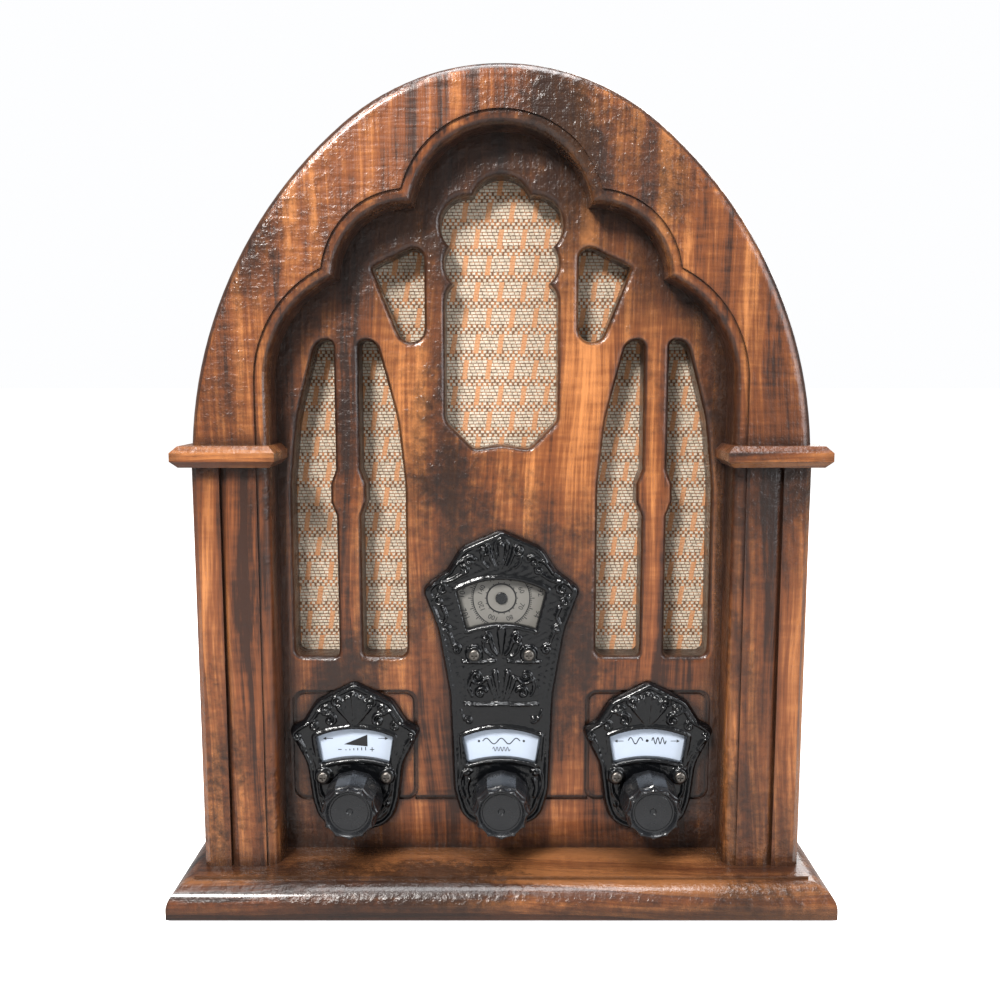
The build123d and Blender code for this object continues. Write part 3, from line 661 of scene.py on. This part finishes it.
def stroke(points, widths, height, steps=14):
    # a raised stem through the given points; each bead is x, z, radius and height
    spots = [points[0]] + list(points) + [points[-1]]
    beads = []
    spans = len(points) - 1
    for span in range(spans):
        p0, p1, p2, p3 = (np.array(spots[span + i], float) for i in range(4))
        for i in range(steps):
            t = i / steps
            spot = 0.5 * (2 * p1 + (p2 - p0) * t + (2 * p0 - 5 * p1 + 4 * p2 - p3) * t**2
                          + (3 * p1 - p0 - 3 * p2 + p3) * t**3)
            share = (span + t) / spans
            width = widths[0] + (widths[1] - widths[0]) * share
            beads.append((spot[0], spot[1], width, height * (0.75 + 0.25 * width / max(widths))))
    return beads


def curl(x, z, radius, start, sweep, width, height):
    # a spiral scroll, from its outer end to a round eye in the middle
    beads = []
    count = 34
    for i in range(count):
        share = i / (count - 1)
        reach = radius * (1 - share) ** 0.8
        angle = math.radians(start + sweep * share)
        spotX, spotZ = x + reach * math.cos(angle), z + reach * math.sin(angle)
        beads.append((spotX, spotZ, width * (1 - 0.35 * share), height))
    beads.append((x, z, width * 1.15, height * 1.15))
    return beads


def drop(x, z, tipX, tipZ, radius, height):
    # a leaf drop: round at the head and pointed at the tip
    beads = []
    count = 26
    for i in range(count):
        share = i / (count - 1)
        beads.append((x + (tipX - x) * share, z + (tipZ - z) * share, radius * (1 - share) ** 0.7 + 0.25,
                      height * (1 - 0.5 * share)))
    return beads


def mirrored(beads):
    return beads + [(-x, z, radius, height) for x, z, radius, height in beads]


def sideOrnament():
    beads = drop(0, 99.8, 0, 84.6, 1.9, 1.5)
    half = []
    for lean, length, width in ((11, 14.6, 1.35), (23, 13.6, 1.25), (36, 12.0, 1.1)):
        angle = math.radians(lean)
        half += drop(0.6 + length * math.sin(angle), 84 + length * math.cos(angle), 1.2, 84.5, width, 1.2)
    half += curl(8.3, 97.2, 2.6, -60, 420, 0.75, 1.3)
    half += curl(12.2, 87.2, 3.4, 60, 430, 0.85, 1.5)
    half += curl(14.4, 92.6, 2.4, 160, -400, 0.7, 1.2)
    half += stroke([(14.8, 90.4), (17.8, 91.8), (20.2, 88.6), (22.2, 86.0)], (0.9, 0.7), 1.1)
    half += curl(20.6, 84.0, 2.4, 100, 400, 0.7, 1.2)
    half += stroke([(22.6, 85.6), (25.6, 84.4), (28.8, 82.4), (30.6, 80.2)], (0.8, 1.1), 1.2)
    half += curl(28.6, 79.0, 2.2, 40, -380, 0.7, 1.2)
    half += stroke([(27.6, 76.8), (25.6, 73.8), (24.6, 70.6)], (0.9, 0.45), 1.0)
    half += curl(15.9, 43.6, 2.0, 90, 360, 0.6, 0.9)
    half += stroke([(15.6, 45.8), (17.6, 49.8), (18.2, 54.0)], (0.7, 0.4), 0.8)
    half += stroke([(14.2, 41.4), (11.0, 37.0), (6.5, 33.9)], (0.6, 0.4), 0.7)
    return beads + mirrored(half)


def centreOrnament():
    beads = drop(0, 176.2, 0, 164.2, 2.0, 1.6) + drop(0, 133.2, 0, 120.6, 2.1, 1.6)
    half = stroke([(0, 179.8), (3.1, 177.4), (2.7, 172.0), (0.5, 165.6)], (0.7, 0.45), 1.1)
    half += curl(8.6, 173.6, 2.9, 120, 420, 0.85, 1.5)
    half += stroke([(6.0, 172.6), (4.6, 168.6), (3.0, 165.2)], (1.0, 0.5), 1.2)
    half += stroke([(9.6, 170.4), (9.0, 167.2), (6.6, 164.8)], (0.8, 0.5), 1.0)
    half += curl(15.8, 168.0, 2.8, 150, -420, 0.8, 1.4)
    half += curl(18.6, 163.6, 2.5, 60, 400, 0.75, 1.3)
    half += stroke([(17.4, 169.6), (21.8, 167.0), (25.6, 162.0)], (0.9, 0.6), 1.2)
    half += stroke([(19.8, 161.6), (24.6, 158.8), (29.4, 157.6)], (0.7, 1.0), 1.2)
    half += curl(29.8, 154.4, 2.9, 90, 430, 0.8, 1.4)
    half += curl(31.0, 148.2, 2.6, 80, -410, 0.75, 1.3)
    half += stroke([(33.6, 156.4), (35.4, 152.8), (33.4, 149.2)], (0.8, 0.5), 1.0)
    half += stroke([(29.0, 144.6), (27.4, 140.2), (29.2, 136.4)], (1.1, 0.7), 1.2)
    half += curl(27.4, 133.6, 2.3, 70, 400, 0.7, 1.2)
    half += stroke([(25.8, 131.6), (24.6, 128.4), (24.4, 125.8)], (0.9, 0.6), 1.1)
    half += curl(22.6, 123.6, 2.6, 60, 420, 0.75, 1.3)
    half += curl(8.0, 129.2, 2.8, 100, 430, 0.85, 1.5)
    half += stroke([(5.4, 128.2), (4.2, 124.0), (1.8, 120.8)], (1.1, 0.55), 1.3)
    half += stroke([(9.2, 126.2), (8.0, 122.6), (4.4, 119.8)], (0.8, 0.5), 1.0)
    # bars of the ornament panel, with scrolls between them
    half += stroke([(3.4, 117.8), (11, 117.2), (19.4, 117.4)], (0.75, 0.75), 1.6)
    half += stroke([(0, 95.6), (9, 95.4), (18.4, 95.6)], (0.85, 0.85), 1.8)
    half += stroke([(18.9, 114.6), (18.8, 106.0), (18.4, 98.2)], (0.4, 0.4), 0.6)
    half += curl(12.2, 109.8, 3.8, 200, 430, 0.95, 1.5)
    half += curl(10.4, 101.4, 3.0, 160, -430, 0.85, 1.4)
    half += stroke([(15.6, 108.2), (16.4, 104.0), (14.6, 99.6)], (1.0, 0.5), 1.2)
    half += drop(3.2, 111.6, 1.0, 98.6, 1.25, 1.3)
    half += drop(6.4, 108.6, 3.4, 98.4, 1.1, 1.1)
    half += curl(16.6, 86.8, 1.9, 40, 380, 0.65, 1.1)
    half += stroke([(18.2, 87.4), (19.6, 89.8), (20.2, 92.2)], (0.8, 0.4), 1.0)
    half += curl(17.0, 59.6, 1.9, 150, -380, 0.65, 1.1)
    half += stroke([(18.8, 60.4), (20.4, 57.4), (20.6, 52.6), (18.8, 46.6)], (0.8, 0.4), 0.9)
    half += stroke([(16.2, 56.6), (17.4, 52.0), (16.4, 46.8)], (0.6, 0.4), 0.8)
    return beads + mirrored(half)


def gridWithin(outline, holes, low, high, stepX, stepZ):
    # a sheet of four-sided cells that fills an outline; its border points sit on the outlines themselves
    gx, gz = np.meshgrid(np.arange(low.x - stepX, high.x + 2 * stepX, stepX),
                         np.arange(low.z - stepZ, high.z + 2 * stepZ, stepZ))
    grid = np.stack([gx.ravel(), gz.ravel()], axis=1)
    middles = np.stack([(gx[:-1, :-1] + stepX / 2).ravel(), (gz[:-1, :-1] + stepZ / 2).ravel()], axis=1)
    keep = within(outline, middles)
    for loop in holes:
        keep &= ~within(loop, middles)
    corner = np.arange(len(grid)).reshape(gx.shape)
    around = [corner[:-1, :-1], corner[:-1, 1:], corner[1:, 1:], corner[1:, :-1]]
    quads = np.stack(around, axis=-1).reshape(-1, 4)[keep]
    used = np.unique(quads)
    touching = np.bincount(quads.ravel(), minlength=len(grid))
    border = used[touching[used] < 4]
    before = grid[border]
    best = np.full(len(border), np.inf)
    for loop in [outline] + holes:
        distance, place = nearestOn(loop, before)
        closer = distance < best
        best[closer] = distance[closer]
        grid[border[closer]] = place[closer]
    renumber = np.full(len(grid), -1)
    renumber[used] = np.arange(len(used))
    return grid[used], renumber[quads]


def castPlate(node, name, body, beads, v):
    low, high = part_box(node)
    centreX = (low.x + high.x) / 2
    front, back = low.y, high.y
    outer = faceLoops(node, back)[0]
    holes = faceLoops(node, front)[1:]
    screwHoles = [loop for loop in holes if np.ptp(loop[:, 0]) < 4 * mm]
    shaftHoles = [loop for loop in holes if 4 * mm < np.ptp(loop[:, 0]) < 15 * mm]
    windows = [loop for loop in holes if np.ptp(loop[:, 0]) > 15 * mm]
    points, quads = gridWithin(outer, holes, low, high, v["gridStep"], v["gridStep"])
    fromOuter = nearestOn(outer, points)[0]
    height = np.full(len(points), v["ground"])

    def ridge(distance, inset, width, rise):
        return rise * np.clip(1 - ((distance - inset) / width) ** 2, 0, 1) ** 0.75

    height += ridge(fromOuter, v["rimInset"], v["rimWidth"], v["rimHeight"])
    lower = np.clip(((high.z - low.z) * 0.62 + low.z - points[:, 1]) / (8 * mm), 0, 1)
    height += lower * ridge(fromOuter, v["innerRimInset"], v["innerRimWidth"], v["innerRimHeight"])
    fromWindow = np.full(len(points), 1.0)
    for loop in windows:
        fromWindow = np.minimum(fromWindow, nearestOn(loop, points)[0])
    height += ridge(fromWindow, v["windowRim"], v["windowRimWidth"], v["windowRimHeight"])
    wobble = np.sin(points[:, 0] * 900 + 3 * np.sin(points[:, 1] * 410)) * np.sin(points[:, 1] * 1050)
    height += v["hammering"] * wobble
    raised = np.zeros(len(points))
    for x, z, radius, rise in beads:
        square = ((points[:, 0] - centreX - x * mm) ** 2 + (points[:, 1] - z * mm) ** 2) / (radius * mm) ** 2
        near = square < 1
        raised[near] = np.maximum(raised[near], rise * mm * np.sqrt(1 - square[near]))
    height += v["ornamentGain"] * raised
    for loop in shaftHoles:
        away = np.linalg.norm(points - loop.mean(axis=0), axis=1)
        flat = away < v["knobClear"]
        height[flat] = np.minimum(height[flat], v["ground"])
    for loop in screwHoles:
        away = np.linalg.norm(points - loop.mean(axis=0), axis=1)
        boss = np.clip((v["bossRadius"] + v["bossFillet"] - away) / v["bossFillet"], 0, 1)
        height = height * (1 - boss) + v["bossHeight"] * boss
    edge = np.clip(fromOuter / v["edgeRound"], 0, 1)
    height *= 0.45 + 0.55 * np.sqrt(1 - (1 - edge) ** 2)
    windowEdge = np.clip(fromWindow / (0.8 * mm), 0, 1)
    height *= 0.7 + 0.3 * np.sqrt(1 - (1 - windowEdge) ** 2)

    recess = np.where(fromWindow < v["recessWidth"], v["backRecess"], 0.0)
    count = len(points)
    verts = np.zeros((2 * count, 3))
    verts[:count, 0], verts[:count, 2] = points[:, 0], points[:, 1]
    verts[count:] = verts[:count]
    verts[:count, 1] = back - height
    verts[count:, 1] = back - recess
    faces = [tuple(q) for q in quads.tolist()]
    faces += [tuple(i + count for i in reversed(q)) for q in quads.tolist()]
    sides = {}
    for q in quads.tolist():
        for a, b in zip(q, q[1:] + q[:1]):
            sides[(a, b)] = True
    faces += [(b, a, a + count, b + count) for a, b in sides if (b, a) not in sides]
    piece = makePiece(name, verts, faces, finishes["escutcheon_black"], body)
    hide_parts(node)
    return piece


castPlate("centre_plate", "centrePlateCasting", "cabinet", centreOrnament(), castings)
castPlate("volume_plate", "volumePlateCasting", "cabinet", sideOrnament(), castings)
castPlate("band_plate", "bandPlateCasting", "cabinet", sideOrnament(), castings)
print("cast plates ready")


knobShape = {
    "facets": 12,
    "perFacet": 12,
    "sharpFrom": 28,
    # distance from the back, radius, share of the facet's flatness; then the dished face
    "profile": [
        (0.0, 6.0, 0), (0.0, 14.1, 1), (0.35, 14.7, 1), (1.2, 14.8, 1), (6.0, 14.5, 1.3), (11.0, 14.2, 1.6),
        (15.6, 13.9, 1.9), (16.6, 13.7, 2.1), (17.0, 13.2, 2.2), (17.4, 13.1, 2.4), (18.0, 13.5, 2.8),
        (19.0, 13.4, 3.0), (19.7, 12.9, 2.6), (20.0, 12.2, 1.4), (19.9, 11.5, 0.5), (19.4, 10.9, 0),
        (18.2, 10.5, 0), (17.5, 10.1, 0), (17.4, 9.4, 0), (17.6, 9.0, 0), (17.5, 8.4, 0), (17.0, 6.0, 0),
        (16.7, 3.2, 0), (16.6, 1.7, 0), (16.1, 1.2, 0), (16.0, 0.6, 0),
    ],
}


def makeKnob(node, name, body, v):
    low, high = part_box(node)
    centreX = (low.x + high.x) / 2
    centreZ = (low.z + high.z) / 2
    count = v["facets"] * v["perFacet"]
    half = math.pi / v["facets"]
    verts = []
    for depth, radius, flatness in v["profile"]:
        for i in range(count):
            angle = 2 * math.pi * i / count
            offset = (angle % (2 * half)) - half
            flat = math.cos(half) / math.cos(offset)
            scale = 1 - flatness * (1 - flat)
            reach = radius * scale * mm
            across, up = reach * math.cos(angle), reach * math.sin(angle)
            verts.append((centreX + across, high.y - depth * mm, centreZ + up))
    faces = []
    rings = len(v["profile"])
    for ring in range(rings - 1):
        for i in range(count):
            j = (i + 1) % count
            faces.append((ring * count + i, ring * count + j, (ring + 1) * count + j, (ring + 1) * count + i))
    faces.append(tuple(range(count)))
    faces.append(tuple(reversed(range((rings - 1) * count, rings * count))))
    piece = makePiece(name, verts, faces, finishes["knob_black"], body)
    piece.data.set_sharp_from_angle(angle=math.radians(v["sharpFrom"]))
    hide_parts(node)
    return piece


makeKnob("volume_knob", "volumeKnobMoulding", "volume_control", knobShape)
makeKnob("tuning_knob", "tuningKnobMoulding", "tuning_control", knobShape)
makeKnob("band_knob", "bandKnobMoulding", "band_selector", knobShape)
print("knobs ready")


printing = {
    "lift": 0.03 * mm,
    "thickness": 0.03 * mm,
}


def inkSheet(name, shapes, y, body):
    # thin closed pieces of ink, each from an outline of x and z points in metres
    verts = []
    faces = []
    for outline in shapes:
        start = len(verts)
        count = len(outline)
        verts += [(x, y, z) for x, z in outline]
        verts += [(x, y + printing["thickness"], z) for x, z in outline]
        faces.append(tuple(range(start, start + count)))
        faces.append(tuple(reversed(range(start + count, start + 2 * count))))
        for i in range(count):
            j = (i + 1) % count
            faces.append((start + j, start + i, start + count + i, start + count + j))
    return makePiece(name, verts, faces, finishes["ink"], body, smooth=False)


def bar(x1, z1, x2, z2, width):
    run = Vector((x2 - x1, z2 - z1))
    side = Vector((-run.y, run.x)).normalized() * width / 2
    return [(x1 + side.x, z1 + side.y), (x2 + side.x, z2 + side.y), (x2 - side.x, z2 - side.y),
            (x1 - side.x, z1 - side.y)]


def brush(points, width):
    return [bar(*a, *b, width) for a, b in zip(points, points[1:])]


def ringMarks(x, z, radius, width, count=72):
    shapes = []
    for i in range(count):
        a, b = 2 * math.pi * i / count, 2 * math.pi * (i + 1) / count
        outer, inner = radius + width / 2, radius - width / 2
        shapes.append([(x + outer * math.cos(a), z + outer * math.sin(a)),
                       (x + outer * math.cos(b), z + outer * math.sin(b)),
                       (x + inner * math.cos(b), z + inner * math.sin(b)),
                       (x + inner * math.cos(a), z + inner * math.sin(a))])
    return shapes


def spot(x, z, radius, count=20):
    return [(x + radius * math.cos(2 * math.pi * i / count), z + radius * math.sin(2 * math.pi * i / count))
            for i in range(count)]


def arrow(x, z, length, way):
    tip = x + way * length
    head = [(tip, z), (tip - way * 1.6, z + 0.8), (tip - way * 1.6, z - 0.8)]
    return [bar(x, z, tip - way * 1.4, z, 0.28), head]


def inMetres(shapes, offsetX):
    return [[((x + offsetX) * mm, z * mm) for x, z in shape] for shape in shapes]


def wave(x, z, length, swing, cycles, width):
    count = int(cycles * 16)
    points = [(x + length * i / count, z + swing * math.sin(2 * math.pi * cycles * i / count))
              for i in range(count + 1)]
    return brush(points, width)


labelMarks = {
    "volume_label": [arrow(-11.5, 76.4, 5.0, -1), arrow(11.5, 76.4, 5.0, 1), [bar(-9, 70.6, -7.2, 70.6, 0.4)],
                     [bar(7.2, 70.6, 9.4, 70.6, 0.4), bar(8.3, 69.5, 8.3, 71.7, 0.4)],
                     [[(-6.0, 73.3), (6.0, 72.2), (6.0, 78.4)]],
                     [bar(-5 + 2 * i, 70.1, -5 + 2 * i, 70.7 + 0.25 * i, 0.45) for i in range(6)]],
    "tuning_label": [wave(-9.5, 75.0, 19, 1.5, 2.5, 0.5), wave(-4.4, 70.8, 8.8, 1.1, 5, 0.3),
                     [spot(-11.4, 75.0, 0.6), spot(11.4, 75.0, 0.6)]],
    "band_label": [arrow(-12.0, 75.0, 4.6, -1), arrow(12.0, 75.0, 4.6, 1), [spot(0, 75.2, 0.75)],
                   wave(-9.6, 75.2, 7.4, 1.7, 1.5, 0.5), wave(2.4, 75.2, 7.2, 1.7, 3, 0.45)],
}


def printLabels():
    for node, groups in labelMarks.items():
        low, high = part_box(node)
        shapes = [shape for group in groups for shape in group]
        centre = (low.x + high.x) / 2 / mm
        front = low.y - printing["lift"] - printing["thickness"]
        inkSheet(node.split("_")[0] + "Marks", inMetres(shapes, centre), front, "cabinet")


dialPrint = {
    "hubRing": 7.1,
    "tickCircle": 14.2,
    "ticks": 90,
    "longTick": 2.4,
    "shortTick": 1.2,
    "lineWidth": 0.42,
    "outerNumbers": ["88", "90", "92", "94", "96", "98", "100", "102", "104", "106", "108"],
    "outerRadius": 19.6,
    "innerNumbers": ["53", "60", "70", "80", "100", "120", "140", "160"],
    "innerRadius": 10.7,
    "numberHeight": 3.9,
}


def numberShapes(text, size):
    # the outlines of a number, as a flat mesh centred on its own middle
    curve = bpy.data.curves.new("number", "FONT")
    curve.body = text
    curve.size = size
    curve.align_x = "CENTER"
    curve.align_y = "CENTER"
    curve.extrude = printing["thickness"] / 2
    curve.resolution_u = 3
    holder = bpy.data.objects.new("number", curve)
    bpy.context.scene.collection.objects.link(holder)
    bpy.context.view_layer.update()
    shown = holder.evaluated_get(bpy.context.evaluated_depsgraph_get())
    mesh = bpy.data.meshes.new_from_object(shown)
    verts = [tuple(v.co) for v in mesh.vertices]
    faces = [tuple(p.vertices) for p in mesh.polygons]
    bpy.data.objects.remove(holder)
    bpy.data.meshes.remove(mesh)
    bpy.data.curves.remove(curve)
    return verts, faces


def printDial(v):
    low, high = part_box("dial_disc")
    x, z = (low.x + high.x) / 2, (low.z + high.z) / 2
    y = low.y - printing["lift"] - printing["thickness"]
    middleX, middleZ = x / mm, z / mm
    shapes = ringMarks(middleX, middleZ, v["hubRing"], v["lineWidth"])
    shapes += ringMarks(middleX, middleZ, v["tickCircle"], v["lineWidth"])
    for i in range(v["ticks"]):
        angle = 2 * math.pi * i / v["ticks"]
        long = v["longTick"] if i % 5 == 0 else v["shortTick"]
        c, s = math.cos(angle), math.sin(angle)
        for radius, length in ((v["tickCircle"], long), (v["hubRing"], long * 0.5)):
            end = radius + length
            inner = (middleX + radius * c, middleZ + radius * s)
            outer = (middleX + end * c, middleZ + end * s)
            shapes.append(bar(*inner, *outer, v["lineWidth"]))
    inkSheet("dialRings", inMetres(shapes, 0), y, "dial")
    verts = []
    faces = []
    for numbers, radius, size in ((v["outerNumbers"], v["outerRadius"], v["numberHeight"]),
                                  (v["innerNumbers"], v["innerRadius"], v["numberHeight"] * 0.9)):
        for index, text in enumerate(numbers):
            angle = math.radians(90) - 2 * math.pi * (index + 0.5) / len(numbers)
            turn = angle - math.radians(90)
            number, sides = numberShapes(text, size * mm)
            start = len(verts)
            for a, b, depth in number:
                px = a * math.cos(turn) - (b + radius * mm) * math.sin(turn)
                pz = a * math.sin(turn) + (b + radius * mm) * math.cos(turn)
                verts.append((x + px, y + printing["thickness"] / 2 - depth, z + pz))
            faces += [tuple(i + start for i in side) for side in sides]
    makePiece("dialNumbers", verts, faces, finishes["ink"], "dial", smooth=False)


printLabels()
printDial(dialPrint)
print("printing ready")


weave = {
    "grainPitch": 2.6 * mm,
    "rowPitch": 1.6 * mm,
    "rowsPerBand": 8,
    "dashPitch": 11.6 * mm,
    "relief": 0.16 * mm,
    "threadRelief": 0.4 * mm,
    "cream": (0.58, 0.51, 0.40, 1),
    "shade": (0.45, 0.365, 0.26, 1),
    "pale": (0.60, 0.55, 0.48, 1),
    "rust": (0.47, 0.19, 0.07, 1),
    "rustLight": (0.52, 0.26, 0.12, 1),
    "brown": (0.17, 0.075, 0.032, 1),
}


def clothFinish(v):
    finish, w, shader, place = newFinish("grille_weave", {"Roughness": 0.85, "Sheen Weight": 0.25,
                                                          "Sheen Roughness": 0.5})
    wavy = w.added(place, w.scaled(w.noise(place, 60, 2, 0.5, True), (0.0010, 0, 0.0006)))
    split = w.node("ShaderNodeSeparateXYZ")
    w.feed(split.inputs[0], wavy)
    x, z = split.outputs["X"], split.outputs["Z"]
    rowAt = w.math("DIVIDE", z, v["rowPitch"])
    row = w.math("FLOOR", rowAt)
    band = w.math("FLOOR", w.math("DIVIDE", rowAt, v["rowsPerBand"]))
    inBand = w.math("SUBTRACT", row, w.math("MULTIPLY", band, v["rowsPerBand"]))
    middle = w.math("MULTIPLY", w.math("GREATER_THAN", inBand, 1.5), w.math("LESS_THAN", inBand, 6.5))
    drift = w.math("MULTIPLY", middle, w.math("MULTIPLY", row, -0.22))
    slide = w.math("ADD", w.math("MULTIPLY", row, 0.5), drift)
    across = w.math("FRACT", w.math("ADD", w.math("DIVIDE", x, v["grainPitch"]), slide))
    up = w.math("FRACT", rowAt)
    fromMiddleX = w.math("ABSOLUTE", w.math("SUBTRACT", across, 0.5))
    fromMiddleZ = w.math("ABSOLUTE", w.math("SUBTRACT", up, 0.5))
    halfWidth = w.math("ADD", 0.30, w.math("MULTIPLY", middle, 0.15))
    sideways = w.step(fromMiddleX, w.math("SUBTRACT", halfWidth, 0.06), w.math("ADD", halfWidth, 0.05), 1, 0)
    upright = w.step(fromMiddleZ, 0.32, 0.47, 1, 0)
    grain = w.math("MULTIPLY", sideways, upright)
    dashAt = w.math("ADD", w.math("DIVIDE", x, v["dashPitch"]), w.math("MULTIPLY", band, 0.5))
    lean = w.math("MULTIPLY", w.math("SUBTRACT", inBand, 3.5), -0.022)
    dashAcross = w.math("ABSOLUTE", w.math("SUBTRACT", w.math("FRACT", w.math("ADD", dashAt, lean)), 0.5))
    dash = w.math("MULTIPLY", w.step(dashAcross, 0.095, 0.125, 1, 0),
                  w.math("MULTIPLY", w.math("GREATER_THAN", inBand, 0.5), w.math("LESS_THAN", inBand, 6.5)))
    seam = w.math("LESS_THAN", inBand, 0.5)
    thread = w.noise(place, 1300, 2)
    fleck = w.noise(place, 420, 2)
    cream = w.mix(w.step(fleck, 0.35, 0.7), v["shade"], v["cream"])
    cream = w.mix(w.step(thread, 0.3, 0.7, 0.0, 0.35), cream, v["pale"])
    ground = w.mix(w.math("MULTIPLY", w.step(fleck, 0.42, 0.6), 0.8), v["brown"], v["rust"])
    colour = w.mix(grain, ground, cream)
    rust = w.mix(w.step(thread, 0.3, 0.7), v["rust"], v["rustLight"])
    colour = w.mix(w.math("MULTIPLY", dash, 0.92), colour, rust)
    line = w.math("MULTIPLY", seam, w.step(up, 0.0, 0.22, 1, 0))
    colour = w.mix(w.math("MULTIPLY", line, 0.75), colour, v["brown"])
    w.feed(shader.inputs["Base Color"], colour)
    height = w.math("ADD", grain, w.math("MULTIPLY", thread, 0.35))
    relief(w, shader, w.math("MAXIMUM", height, w.math("MULTIPLY", dash, 0.8)), v["threadRelief"])
    return finish


def makeCloth(v):
    low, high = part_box("grille_cloth")
    outline, hole = faceLoops("grille_cloth", low.y)[:2]
    points, quads = gridWithin(outline, [hole], low, high, v["grainPitch"] / 2, v["rowPitch"] / 2)
    row = np.floor(points[:, 1] / v["rowPitch"])
    lift = np.cos(2 * np.pi * points[:, 0] / v["grainPitch"] + np.pi * row) * np.sin(
        np.pi * (points[:, 1] / v["rowPitch"] - row))
    depth = (low.y + high.y) / 2 - v["relief"] * lift
    verts = np.stack([points[:, 0], depth, points[:, 1]], axis=1)
    faces = [tuple(q) for q in quads.tolist()]
    cloth = makePiece("grilleClothSheet", verts, faces, clothFinish(v), "cabinet")
    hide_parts("grille_cloth")
    return cloth


makeCloth(weave)
print("cloth ready")
